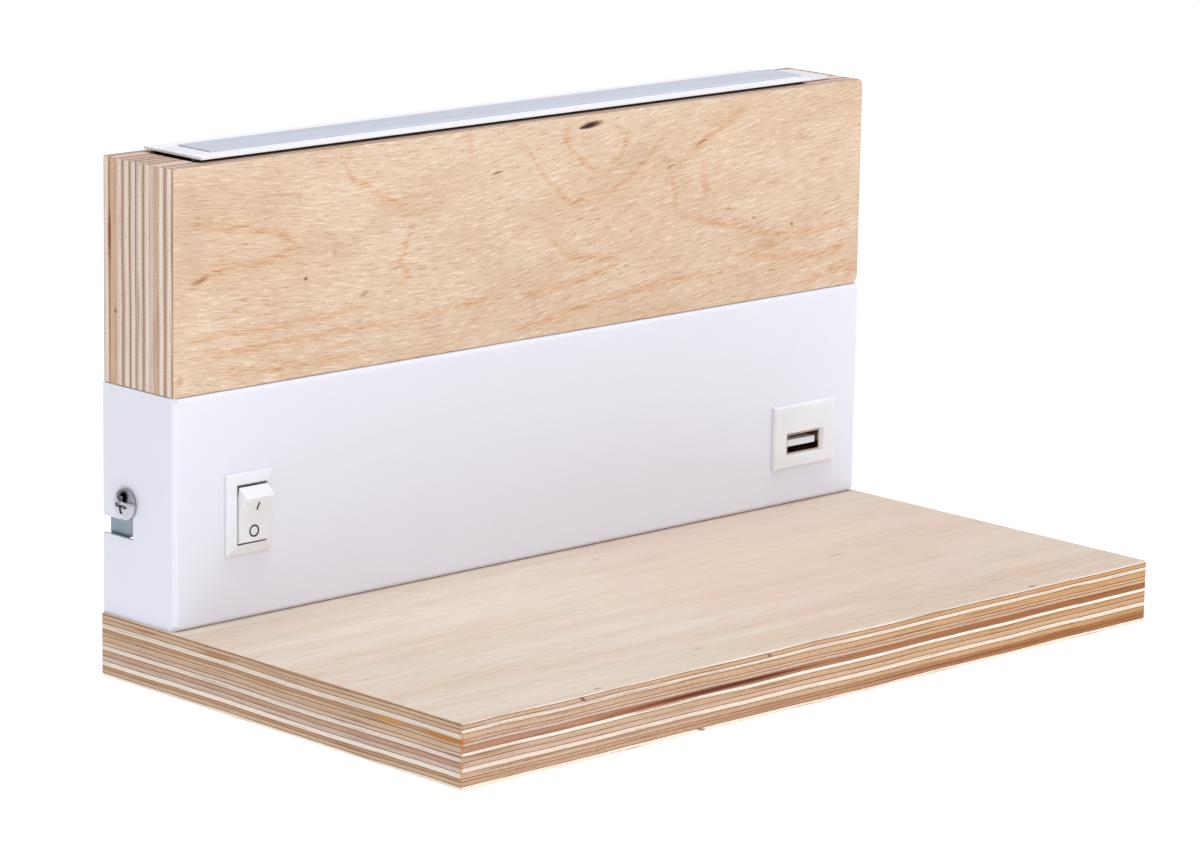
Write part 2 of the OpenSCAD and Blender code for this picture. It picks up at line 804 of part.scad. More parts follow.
module led_profile()
    color("white")
    difference() {
        run(profile_x0, profile_x1) profile_section();
        translate([lead_hole_x, -profile_y, groove_floor_z - 1])
            cylinder(r = lead_hole_r, h = trough_wall + 2);
    }

// Frosted cover: a raised bar with two clip legs under the lips
module led_diffuser() {
    skin_r = 0.4;
    leg_t = 0.8;
    barb = 0.5;
    leg_top_z = flange_bottom_z;
    leg_bottom_z = flange_bottom_z - 2;
    color("lightsteelblue") {
        run(diffuser_x0, diffuser_x1)
            round_rect([-profile_y - diffuser_half, diffuser_skin_z],
                       [-profile_y + diffuser_half, diffuser_top_z], skin_r);
        run(diffuser_x0, profile_x1)
            for (side = [-1, 1])
                translate([-profile_y, 0])
                    polygon([
                        [side * (diffuser_half - leg_t - skin_r), diffuser_skin_z + skin_r],
                        [side * (diffuser_half - skin_r), diffuser_skin_z + skin_r],
                        [side * (diffuser_half - skin_r), leg_top_z - case_gap],
                        [side * (lip_half + barb), leg_top_z - case_gap],
                        [side * (diffuser_half - skin_r), leg_bottom_z],
                        [side * (diffuser_half - leg_t - skin_r), leg_bottom_z]
                    ]);
    }
}

// Left plug: fills the profile's mouth up to the diffuser, and is undercut at the profile's end
module profile_plug_left()
    color("white")
    difference() {
        run(profile_x0, diffuser_x0 - case_gap) {
            translate([-profile_y - trough_inner_half + case_gap, trough_floor_z])
                square([2 * (trough_inner_half - case_gap), plug_shoulder_z - trough_floor_z]);
            translate([-profile_y - diffuser_half, trough_floor_z])
                square([2 * diffuser_half, flange_top_z - trough_floor_z]);
        }
        bar([profile_x0 - 1, diffuser_x0], [-profile_y - strip_w / 4, -profile_y + strip_w / 4],
            [trough_floor_z - 1, trough_floor_z + plug_notch_h]);
        bar([profile_x0 - 1, profile_x0 + plug_undercut],
            [-profile_y - mouth_w / 2, -profile_y + mouth_w / 2], [plug_shoulder_z, flange_bottom_z]);
    }

// Right plug: a body in the groove and a thin plate on the wood
module profile_plug_right()
    color("white") {
        plate_x0 = profile_x1 + case_gap;
        bar([plate_x0, plate_x0 + plug_body_l],
            [-profile_y - trough_w / 2, -profile_y + trough_w / 2],
            [groove_floor_z, plug_plate_z + eps]);
        translate([0, 0, plug_plate_z])
            linear_extrude(height = plug_plate_t)
                intersection() {
                    round_rect([plate_x0 - 2 * plug_corner_r, -profile_y - plug_plate_w / 2],
                               [plate_x0 + plug_plate_l, -profile_y + plug_plate_w / 2],
                               plug_corner_r);
                    translate([plate_x0, -2 * profile_y]) square([lamp_w, 2 * profile_y]);
                }
    }

module led_strip()
    color("white")
    bar([strip_x0, strip_x0 + strip_l], [-profile_y - strip_w / 2, -profile_y + strip_w / 2],
        [trough_floor_z, trough_floor_z + strip_t]);

module led_chips()
    color("khaki")
    for (i = [0 : led_count - 1])
        translate([strip_x0 + 1 + (i + 0.5) * led_pitch, -profile_y, trough_floor_z + strip_t])
            bar([-led_l / 2, led_l / 2], [-led_w / 2, led_w / 2], [0, led_h]);

// ---- Driver and terminals ----

module led_driver()
    color("whitesmoke")
    difference() {
        union() {
            translate([0, 0, inner_bottom_z])
                linear_extrude(height = driver_h)
                    round_rect([driver_x0, driver_y - driver_d / 2],
                               [driver_x1, driver_y + driver_d / 2], 2);
            bar([driver_x0 - driver_ear_l, driver_x1 + driver_ear_l],
                [driver_y - small_head_d / 2 - 1, driver_y + small_head_d / 2 + 1],
                [inner_bottom_z, inner_bottom_z + driver_ear_t]);
        }
        for (p = driver_screw_points(inner_bottom_z - 1))
            translate(p) cylinder(d = small_screw_d + 2 * fit_gap, h = driver_ear_t + 2);
    }

module driver_screws()
    color("silver")
    for (p = driver_screw_points(inner_bottom_z + driver_ear_t))
        translate(p) domed_screw(small_head_d, small_head_h, small_screw_d, small_screw_l);

// Poles of the terminal block, numbered from the front
function pole_y(i) = driver_y + (i - 1) * pole_pitch;

// Middle points of the clamp screws: two on each pole
function clamp_points() = [
    for (i = [0 : 2], side = [-1, 1])
        [terminal_x0 + terminal_l / 2 + side * clamp_screw_dx, pole_y(i), pole_z]
];

module terminal_block()
    color("ivory")
    difference() {
        union() {
            bar([terminal_x0, terminal_x0 + terminal_l],
                [driver_y - terminal_d / 2, driver_y + terminal_d / 2],
                [inner_bottom_z, inner_bottom_z + terminal_base_h]);
            for (i = [0 : 2])
                bar([terminal_x0 + pole_set_back, terminal_x0 + terminal_l - pole_set_back],
                    [pole_y(i) - pole_w / 2, pole_y(i) + pole_w / 2],
                    [inner_bottom_z, inner_bottom_z + terminal_h]);
        }
        for (i = [0 : 2])
            translate([terminal_x0 - 1, pole_y(i), pole_z])
                rotate([0, 90, 0]) cylinder(r = clamp_r + fit_gap, h = terminal_l + 2);
        for (p = clamp_points())
            translate(p) cylinder(r = clamp_screw_r + case_gap, h = terminal_h);
        translate(terminal_screw_point(inner_bottom_z - 1))
            cylinder(d = terminal_screw_d + 2 * fit_gap, h = terminal_h + 2);
        translate(terminal_screw_point(inner_bottom_z + terminal_base_h))
            cylinder(d = terminal_head_d + 4 * fit_gap, h = terminal_h);
    }

module terminal_clamps()
    color("goldenrod")
    difference() {
        for (i = [0 : 2])
            translate([terminal_x0 + (terminal_l - clamp_l) / 2, pole_y(i), pole_z])
                rotate([0, 90, 0])
                    difference() {
                        cylinder(r = clamp_r, h = clamp_l);
                        translate([0, 0, -1]) cylinder(r = clamp_bore_r, h = clamp_l + 2);
                    }
        for (p = clamp_points())
            translate(p) cylinder(r = clamp_screw_r + fit_gap, h = terminal_h);
    }

module terminal_screws()
    color("silver")
    for (p = clamp_points())
        translate(p + [0, 0, clamp_screw_dz])
            difference() {
                cylinder(r = clamp_screw_r, h = clamp_screw_l);
                bar([-2 * clamp_screw_r, 2 * clamp_screw_r], [-screw_slot_w / 2, screw_slot_w / 2],
                    [clamp_screw_l - screw_slot_d, clamp_screw_l + 1]);
            }

module terminal_fixing_screw()
    color("silver")
    translate(terminal_screw_point(inner_bottom_z + terminal_base_h))
        domed_screw(terminal_head_d, terminal_head_h, terminal_screw_d, terminal_screw_l);

module earth_stud()
    color("silver")
    translate([stud_x, driver_y, inner_bottom_z]) cylinder(r = stud_r, h = stud_l);

// Ring tag with its barrel towards the terminal block
module earth_tag()
    color("goldenrod")
    translate([stud_x, driver_y, inner_bottom_z])
        difference() {
            union() {
                cylinder(r = tag_r, h = tag_t);
                translate([-tag_r - tag_barrel_l + tag_overlap, 0, tag_barrel_r])
                    rotate([0, 90, 0]) cylinder(r = tag_barrel_r, h = tag_barrel_l);
                bar([-tag_r - 1, -tag_r + 1], [-1, 1], [0, tag_t]);
            }
            translate([0, 0, -1]) cylinder(r = stud_r + fit_gap, h = 6);
            translate([-tag_r - tag_barrel_l - 1, 0, tag_barrel_r])
                rotate([0, 90, 0]) cylinder(r = mains_lead_r + 3 * fit_gap, h = tag_barrel_l - 1);
        }

module earth_nut()
    color("silver")
    translate([stud_x, driver_y, inner_bottom_z + tag_t])
        difference() {
            rotate([0, 0, 30]) cylinder(d = nut_af / cos(30), h = nut_h, $fn = 6);
            translate([0, 0, -1]) cylinder(r = stud_r + fit_gap, h = nut_h + 2);
        }

// ---- Leads ----

// Rubber grommet, round the sheet's edge below the block
module lead_grommet()
    color("dimgray")
    translate([lead_hole_x, -profile_y, 0])
        difference() {
            union() {
                translate([0, 0, inner_top_z - grommet_flange_t])
                    cylinder(r = grommet_flange_r, h = grommet_flange_t);
                translate([0, 0, inner_top_z - eps])
                    cylinder(r = grommet_neck_r, h = sheet_t + 2 * eps);
                translate([0, 0, top_z])
                    cylinder(r = grommet_flange_r, h = grommet_flange_t);
            }
            translate([0, 0, inner_top_z - 3]) cylinder(r = lead_hole_r - 0.5, h = 8);
        }

// Live and neutral, from the terminal block into the driver's end
module mains_leads()
    color("saddlebrown")
    for (i = [0, 1])
        lead([[driver_x1, pole_y(i), pole_z], [driver_x1 + 2.5, pole_y(i), pole_z],
              [driver_x1 + 6, pole_y(i), pole_z + 0.8], [terminal_x0 - 2, pole_y(i), pole_z],
              [terminal_x0 + 4, pole_y(i), pole_z]],
             mains_lead_r, [0, 1, 0]);

// Earth, from the third pole over the terminal block to the ring tag
module earth_lead()
    color("yellowgreen") {
        barrel_z = inner_bottom_z + tag_barrel_r;
        barrel_x = stud_x - tag_r - tag_barrel_l + tag_overlap;
        over_z = pole_z + 10.5;
        lead([[terminal_x0 + 4, pole_y(2), pole_z], [terminal_x0 - 1, pole_y(2), pole_z],
              [terminal_x0 - 4, pole_y(2), pole_z + 3], [terminal_x0 - 3, pole_y(2), pole_z + 8],
              [terminal_x0 + 4, pole_y(2), over_z], [terminal_x0 + 16, pole_y(2) - 1, over_z],
              [terminal_x0 + 25, driver_y + 3, pole_z + 6], [barrel_x - 7, driver_y, barrel_z + 4],
              [barrel_x - 2.5, driver_y, barrel_z + 0.1], [barrel_x, driver_y, barrel_z],
              [barrel_x + 2, driver_y, barrel_z]],
             mains_lead_r, [0, 1, 0]);
    }

// Supply of the USB board, from the driver's end
module usb_leads()
    color("firebrick")
    for (i = [0, 1]) {
        start = [driver_x1, driver_y - 3 + 4 * i, inner_bottom_z + driver_h - 6];
        pad = [usb_x - board_w / 2 + 1.5, board_front_y + board_l - 6 + 3 * i,
               board_top_z + lead_r];
        lead([start, start + [6, 0, 0], start + [22, 0.5, -2], pad + [-18, -3, 2.5],
              pad + [-6, 0, 0.8], pad],
             lead_r, [0, 0, 1]);
    }

// From the driver to the switch's lower blade
module switch_lead()
    color("firebrick") {
        start = [driver_x0, driver_y - 2, inner_bottom_z + driver_h - 7];
        blade = [-switch_x + 1, -case_back_y + blade_l - 1.5,
                 switch_z - blade_dz + blade_t / 2 + lead_r];
        lead([start, start + [-7, 0, 0], blade + [26, -3, -1.5], blade + [9, 0, 0.3], blade],
             lead_r, [0, 0, 1]);
    }

// Up through the grommet and the block to the strip: one from the switch, one from the driver
module strip_leads()
    color("firebrick") {
        pad_z = trough_floor_z + strip_t + lead_r;
        rear_y = -profile_y + lead_spread;
        fore_y = -profile_y - lead_spread;
        blade = [-switch_x - 1, -case_back_y + blade_l - 1.5,
                 switch_z + blade_dz + blade_t / 2 + lead_r];
        start = [driver_x0, driver_y + 3, inner_bottom_z + driver_h - 3];
        lead(concat([blade, blade + [-4, -0.3, 0.8], blade + [-5.5, -1, 6],
                     [lead_hole_x - 1.5, rear_y + 2, inner_top_z - 11]],
                    lead_rise(rear_y), [[strip_x0 + 2, rear_y + 1, pad_z]]),
             lead_r, [0, 1, 0.2]);
        lead(concat([start, start + [-6, 0, 0], [-switch_x + 26, driver_y + 2, switch_z + 4],
                     [lead_hole_x + 10, fore_y, inner_top_z - 13],
                     [lead_hole_x + 1.5, fore_y, inner_top_z - 6.5]],
                    lead_rise(fore_y), [[strip_x0 + 2, fore_y - 1, pad_z]]),
             lead_r, [0, 1, 0.2]);
    }

// The straight rise through the sheet and the block, and the turn along the trough
function lead_rise(y) = [
    [lead_hole_x, y, inner_top_z - 2], [lead_hole_x, y, top_z + 3],
    [lead_hole_x, y, groove_floor_z - 4], [lead_hole_x + 0.3, y, groove_floor_z + 1.2],
    [lead_hole_x + 2, y, trough_floor_z + strip_t + lead_r + 0.5]
];

wall_bracket();
hook_screws();
housing();
shelf_board();
wood_block();
block_screws();
shelf_screws();
switch_case();
switch_terminals();
switch_rocker();
rocker_marks();
usb_plate();
usb_shell();
usb_tongue();
usb_contacts();
usb_board();
usb_board_parts();
led_profile();
led_diffuser();
profile_plug_left();
profile_plug_right();
led_strip();
led_chips();
led_driver();
driver_screws();
terminal_block();
terminal_clamps();
terminal_screws();
terminal_fixing_screw();
earth_stud();
earth_tag();
earth_nut();
lead_grommet();
mains_leads();
earth_lead();
usb_leads();
switch_lead();
strip_leads();
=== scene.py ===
import math

import bmesh
import bpy
from mathutils import Matrix, Vector


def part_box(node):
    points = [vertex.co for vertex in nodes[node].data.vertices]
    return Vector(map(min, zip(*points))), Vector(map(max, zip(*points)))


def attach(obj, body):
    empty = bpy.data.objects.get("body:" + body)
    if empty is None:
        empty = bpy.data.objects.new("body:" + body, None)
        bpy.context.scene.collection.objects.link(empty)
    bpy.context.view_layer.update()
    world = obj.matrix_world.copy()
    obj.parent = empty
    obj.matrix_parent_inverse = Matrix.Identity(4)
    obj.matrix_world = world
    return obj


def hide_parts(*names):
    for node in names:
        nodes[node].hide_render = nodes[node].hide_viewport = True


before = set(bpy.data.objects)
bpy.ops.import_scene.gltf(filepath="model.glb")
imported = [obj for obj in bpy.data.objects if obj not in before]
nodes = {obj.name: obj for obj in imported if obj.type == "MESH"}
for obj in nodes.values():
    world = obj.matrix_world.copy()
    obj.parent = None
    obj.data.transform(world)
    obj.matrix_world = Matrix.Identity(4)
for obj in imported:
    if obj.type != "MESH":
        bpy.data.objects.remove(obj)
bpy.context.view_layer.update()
mm = 0.001
print("frame loaded:", len(nodes), "nodes")


def toLinear(hexText):
    channels = [int(hexText[i:i + 2], 16) / 255 for i in (1, 3, 5)]
    linear = [c / 12.92 if c <= 0.04045 else ((c + 0.055) / 1.055) ** 2.4 for c in channels]
    return (*linear, 1.0)


def addNode(tree, kind, settings=None, links=None):
    # a colour ramp takes its stops as (place, hex), a float curve its points as (x, y)
    node = tree.nodes.new("ShaderNode" + kind)
    for key, value in (settings or {}).items():
        if key == "stops":
            ramp = node.color_ramp
            while len(ramp.elements) < len(value):
                ramp.elements.new(0.5)
            for element, (place, colour) in zip(ramp.elements, value):
                element.position = place
                element.color = toLinear(colour)
        elif key == "points":
            curve = node.mapping.curves[0]
            while len(curve.points) < len(value):
                curve.points.new(0.5, 0.5)
            for point, place in zip(curve.points, value):
                point.location = place
            node.mapping.update()
        elif key == "interpolation":
            node.color_ramp.interpolation = value
        elif isinstance(key, int) or key in node.inputs:
            node.inputs[key].default_value = value
        else:
            setattr(node, key, value)
    for key, socket in (links or {}).items():
        tree.links.new(socket, node.inputs[key])
    return node


def startMaterial(name):  # gives the material, its tree and a shader joined to the output
    material = bpy.data.materials.new(name)
    material.use_nodes = True
    tree = material.node_tree
    tree.nodes.clear()
    shader = addNode(tree, "BsdfPrincipled")
    addNode(tree, "OutputMaterial", links={"Surface": shader.outputs[0]})
    return material, tree, shader


meshing = {
    "sharpAbove": 38,  # degrees; an edge that turns more keeps a hard line
    "mergeReach": 0.002,  # mm
    "flatBelow": 0.5,  # degrees; faces that differ less become one
    "touching": 1e-6,  # m; closer than this counts as the same place
}


def finishPiece(bm, name, body, material, replaces):
    mesh = bpy.data.meshes.new(name)
    bm.normal_update()
    bm.to_mesh(mesh)
    bm.free()
    mesh.shade_smooth()
    mesh.set_sharp_from_angle(angle=math.radians(meshing["sharpAbove"]))
    piece = bpy.data.objects.new(name, mesh)
    bpy.context.scene.collection.objects.link(piece)
    piece.data.materials.append(material)
    weighted = piece.modifiers.new("evenNormals", "WEIGHTED_NORMAL")
    weighted.keep_sharp = True
    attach(piece, body)
    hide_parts(*replaces)


def mergedCopy(nodeName):  # the node's loose triangles joined into clean faces
    bm = bmesh.new()
    bm.from_mesh(nodes[nodeName].data)
    bmesh.ops.remove_doubles(bm, verts=bm.verts, dist=meshing["mergeReach"] * mm)
    bmesh.ops.dissolve_limit(bm, angle_limit=math.radians(meshing["flatBelow"]), verts=bm.verts,
                             edges=bm.edges)
    return bm


def softenEdges(bm, width, segments, above):  # above: degrees that an edge has to turn by
    edges = [e for e in bm.edges if e.is_manifold and e.calc_face_angle() > math.radians(above)]
    bmesh.ops.bevel(bm, geom=edges, offset=width, offset_type="OFFSET", segments=segments,
                    profile=0.5, affect="EDGES", clamp_overlap=True, material=-1)


def dress(nodeName, material):  # gives a node of the frame its material, in place of any it has
    piece = nodes[nodeName]
    if piece.material_slots:
        for slot in piece.material_slots:
            slot.material = material
    else:
        piece.data.materials.append(material)


view = {
    "place": (-0.9165, -1.0037, 0.3016),  # m
    "turn": -43.955,  # degrees about Z from looking along +Y
    "dip": 12.525,  # degrees down from level
    "roll": 1.012,
    "lens": 153.13,  # mm
    "sensor": 36,  # mm wide
    "near": 0.05,  # m
    "far": 60,
}


def makeCamera(spec):
    data = bpy.data.cameras.new("camera")
    data.sensor_fit = "HORIZONTAL"
    data.sensor_width = spec["sensor"]
    data.lens = spec["lens"]
    data.clip_start = spec["near"]
    data.clip_end = spec["far"]
    camera = bpy.data.objects.new("camera", data)
    bpy.context.scene.collection.objects.link(camera)
    turn = Matrix.Rotation(math.radians(spec["turn"]), 4, "Z")
    dip = Matrix.Rotation(math.radians(90 - spec["dip"]), 4, "X")
    roll = Matrix.Rotation(math.radians(spec["roll"]), 4, "Z")
    camera.matrix_world = Matrix.Translation(spec["place"]) @ turn @ dip @ roll
    bpy.context.scene.camera = camera


makeCamera(view)
print("camera placed")

# sanded birch plywood without varnish: matt, with pale and dark plies, thin brown glue lines and open
# pores on the edges. A ramp below is a list of (noise value, colour)
plywood = {
    "sanded": 0.4,  # mm, radius of most edges
    "sandedSegments": 3,
    "sandedAbove": 60,  # degrees that an edge has to turn by
    "wornSegments": 5,
    "streakLength": 30.0,  # mm, dark pores that run along the plies
    "streakWidth": 0.3,
    "streakRamp": [(0.30, "#A57E5C"), (0.46, "#FFFFFF")],
    "streakDepth": 0.85,
    "fibre": 0.12,  # mm, cut fibre ends
    "fibreCoarser": 4,  # times that they are drawn larger, because real ones are too fine to show
    "fibreRamp": [(0.35, "#D9C4AE"), (0.6, "#FFFFFF")],
    "fibreDepth": 0.35,
    "waver": 0.8,  # mm that a glue line wanders
    "waverSize": 33.333,  # mm from one bend to the next
    "glueLine": 0.2,
    "squareOn": 0.72,  # cosine; a face that looks along an axis more squarely counts as its side
    "specular": 0.25,
    "rough": (0.46, 0.62),
    "bump": 0.03,  # mm
    "bumpStrength": 0.4,
}

# the block's plies: where each starts in mm from the wall, and the letter of its tone
blockPlies = [
    (0.0, "t"), (0.6, "l"), (2.0, "t"), (2.45, "d"), (2.8, "o"), (5.9, "l"), (7.3, "t"), (7.75, "d"),
    (8.05, "t"), (8.8, "l"), (10.2, "t"), (10.65, "d"), (10.95, "t"), (11.4, "l"), (12.8, "d"),
    (13.2, "t"), (14.1, "l"), (15.5, "t"), (16.05, "d"), (16.35, "t"), (16.9, "l"), (18.3, "p"),
    (20.2, "t"), (22.5, "m"), (23.9, "t"), (24.55, "d"), (24.9, "t"), (25.7, "m"), (27.1, "t"),
    (27.6, "d"),
]
blockEndTones = {"l": "#F2E2D4", "m": "#FAECE0", "o": "#DCBE9F", "p": "#E4CFBE", "t": "#D6BAA2",
                 "d": "#9C7656"}
blockSideTones = {"l": "#B08E74", "m": "#B8967C", "o": "#E2CCB8", "p": "#D8C0AE", "t": "#EAD8CA",
                  "d": "#8E6E54"}

# the shelf's plies: start in mm from the top, tone on the long edges, tone on the ends
shelfPlies = [
    (0.0, "c", "b"), (0.45, "t", "t"), (1.55, "l", "t"), (2.65, "t", "l"), (4.2, "p", "b"),
    (5.0, "p", "t"), (5.9, "b", "t"), (7.35, "c", "p"), (8.45, "t", "l"), (9.85, "p", "r"),
    (11.15, "l", "g"), (12.5, "t", "c"), (13.9, "r", "b"), (14.7, "r", "t"), (15.75, "c", "l"),
]
shelfLeftTones = {"c": "#F6E9D8", "l": "#ECDBC8", "t": "#CDAF92", "p": "#D2B49E", "b": "#B9896A",
                  "r": "#C9A484", "glue": "#8A644A"}
shelfRightTones = {"c": "#FAEEDC", "l": "#F2E0C8", "t": "#CFA06E", "p": "#D6B08A", "b": "#A86C3E",
                   "r": "#B0743F", "glue": "#7E5230"}
shelfEndTones = {"c": "#F6EADC", "l": "#EEDFCE", "t": "#D3B698", "p": "#DCC0AC", "b": "#C49A74",
                 "r": "#C8A388", "g": "#D6C0AE", "glue": "#8C6448"}
shelfBlend = (-90.0, 100.0)  # mm along X, over which the left tones turn into the right ones

# growth lines on the block's front in mm: the axis that a line runs along, then its points, as a
# place along that axis and a place on the other one
growthLines = [
    ("X", [(-120, 75), (-113, 73.2), (-103, 71.6), (-94.5, 70), (-88, 67.5), (-83, 65.4)]),
    ("X", [(-122, 57), (-113, 60.5), (-107.5, 61.6), (-99, 61.9), (-92, 62.6), (-87, 63.9),
           (-83, 65.4)]),
    ("X", [(-70, 88.5), (-68.5, 85), (-66, 81), (-59.5, 77), (-54, 74), (-49.5, 71.4), (-45, 68)]),
    ("Z", [(46.7, -59), (47.7, -54.5), (49.5, -52), (51.6, -47), (53, -46.3), (56.6, -49), (59.5, -47),
           (62, -47), (64, -45), (68.3, -45)]),
    ("X", [(-122, 45), (-103, 44.7), (-83, 45), (-73, 45.3), (-66, 46), (-58, 47)]),
    ("X", [(-122.5, 40.2), (-90, 40.1), (-74, 40.7), (-49, 40.7), (-35, 41.6), (-23.5, 42.6),
           (-10, 44.2)]),
    ("X", [(-116, 35.2), (-92, 33.9), (-73, 33.7), (-49, 33.2)]),
    ("Z", [(72.5, 22.5), (72.9, 24.7), (75.3, 27.6), (77.7, 30.6), (80.3, 32), (83.2, 30.4), (86, 24)]),
    ("Z", [(72.5, 22.5), (74, 18.7), (77, 15), (80.2, 11.2), (83, 9.7), (85.1, 10.4), (86.2, 13)]),
    ("X", [(-10, 85.5), (-3.4, 80.6), (-0.4, 76.5), (4, 71.8), (10, 66.8), (12.5, 65.3), (15.2, 66.2),
           (19, 66.9), (25, 67.4), (30, 68.5), (36.7, 72), (40.4, 75), (45, 79), (48.6, 83), (50, 87)]),
    ("X", [(49.7, 71.4), (52.7, 71.7), (55.7, 74), (61, 77.1), (66.4, 79.6), (74, 83.3), (79.4, 85.6)]),
    ("Z", [(57.7, 53), (59, 51.6), (62.3, 51.5), (66.8, 50.6), (71.4, 49.7)]),
    ("X", [(52.5, 58), (61, 55.7), (68.7, 53.7), (76.6, 52), (83, 50), (91, 48.4), (100.6, 47.9),
           (112, 47.8), (123.4, 48.8)]),
    ("Z", [(59.9, 68.5), (62.5, 65.3), (65.6, 62.1), (70.6, 62), (74.1, 66.5)]),
    ("X", [(76.8, 46.1), (84.8, 42.9), (97, 40.7), (109, 40.7), (121, 42.2)]),
    ("X", [(2.9, 57.3), (8, 53.4), (11, 50.9), (19.3, 49.7), (30.6, 48.1)]),
    ("X", [(-6.3, 42), (14.2, 44), (30.6, 48)]),
    ("X", [(33.8, 38.3), (46, 39.6), (61.4, 39.6), (73, 40.3), (81, 42.8)]),
    ("X", [(-13.3, 33.2), (1.2, 34.1), (14.4, 36.3), (23.3, 37.4), (38.4, 38.9), (53.7, 39.3),
           (66, 39.5)]),
    ("X", [(101, 31.9), (106, 33), (111, 34.7), (117.4, 35.4), (124.5, 34.5)]),
]
growth = {
    "halfWidth": 2.0,  # mm
    "warp": 1.8,  # mm that a line strays from its curve
    "warpSize": 6.0,  # mm from one bend to the next
    "colour": "#F2C296",
    "depth": 0.5,  # on dark flecks
    "lightDepth": 0.225,  # on light ones
    "flecks": (0.35, 0.6),  # noise values of dark and light flecks
    "fade": 0.12,  # share of its length over which each end fades
    "frontBefore": -14.0,  # mm; the lines are on the front only
}

markFade = 0.55  # a mark grows to full strength from its rim over this share of its half size
# knots, pores and stains in mm: place, half sizes, degrees of tilt, strength, colour
blockMarks = [
    ((19.3, -28, 85.95), (5.0, 4, 1.15), 5, 1.0, "#7A5138"),
    ((18.2, -28, 85.75), (3.4, 4, 0.8), 8, 1.0, "#3A2018"),
    ((15.6, -28, 85.4), (1.3, 4, 0.4), 6, 1.0, "#2E1A14"),
    ((17.4, -28, 82.4), (2.6, 4, 0.5), -4, 0.35, "#D09A6C"),
    ((61.0, -28, 77.1), (2.7, 4, 0.34), 20, 0.95, "#A8683A"),
    ((49.3, -28, 71.6), (2.0, 4, 0.3), 14, 0.8, "#9A623C"),
    ((-81.2, -28, 55.9), (0.9, 4, 0.5), 12, 0.95, "#8A5430"),
    ((-14.8, -28, 76.5), (2.4, 4, 0.36), 5, 0.85, "#9A6238"),
    ((-61.4, -28, 49.6), (2.0, 4, 0.9), 20, 0.45, "#7F746A"),
    ((-64.5, -28, 42.0), (3.0, 4, 0.6), 5, 0.2, "#8A7A68"),
    ((-71.5, -28, 61.6), (1.2, 4, 1.6), 20, 0.25, "#8F7C66"),
    ((-116.2, -28, 59.4), (3.4, 4, 0.8), 18, 0.45, "#74604E"),
    ((-119.5, -28, 70.0), (7.0, 4, 16.0), 0, 0.12, "#A08A7C"),
    ((-90.0, -28, 33.5), (3.0, 4, 0.7), 5, 0.5, "#C88E5C"),
    ((-68.0, -28, 37.2), (9.0, 4, 1.0), 4, 0.35, "#CF9A6C"),
    ((-122.5, -28, 34.6), (1.6, 4, 1.4), 0, 0.5, "#C07A48"),
    ((-24.5, -28, 85.0), (1.5, 4, 5.5), 4, 0.25, "#CC9668"),
    ((36.0, -28, 75.5), (8.0, 4, 4.0), 20, 0.2, "#B99276"),
    ((15.3, -28, 60.8), (1.8, 4, 0.45), 4, 0.55, "#B07648"),
    ((22.0, -28, 60.0), (1.6, 4, 0.4), 4, 0.5, "#B07648"),
    ((32.9, -28, 45.9), (1.3, 4, 0.4), 6, 0.5, "#A86C40"),
    ((15.9, -28, 36.4), (4.0, 4, 0.6), 6, 0.45, "#C08656"),
    ((62.8, -28, 64.0), (2.0, 4, 4.0), 0, 0.3, "#C99266"),
    ((71.7, -28, 57.3), (1.6, 4, 0.5), 8, 0.6, "#B27646"),
    ((82.0, -28, 53.7), (1.0, 4, 0.5), 8, 0.6, "#A86C40"),
    ((97.3, -28, 50.3), (0.7, 4, 0.8), 30, 0.7, "#8E5E3A"),
    ((87.0, -28, 45.8), (6.0, 4, 2.2), -8, 0.35, "#C08A5E"),
    ((89.4, -28, 38.1), (1.6, 4, 0.4), 6, 0.5, "#A86C40"),
    ((-125, -2.6, 69), (4, 0.75, 9.0), 0, 0.95, "#803A14"),
    ((-125, -2.6, 62), (4, 0.5, 34.0), 0, 0.55, "#9A6444"),
    ((-125, -4.9, 49.4), (4, 0.6, 0.8), 0, 0.9, "#7E6048"),
]
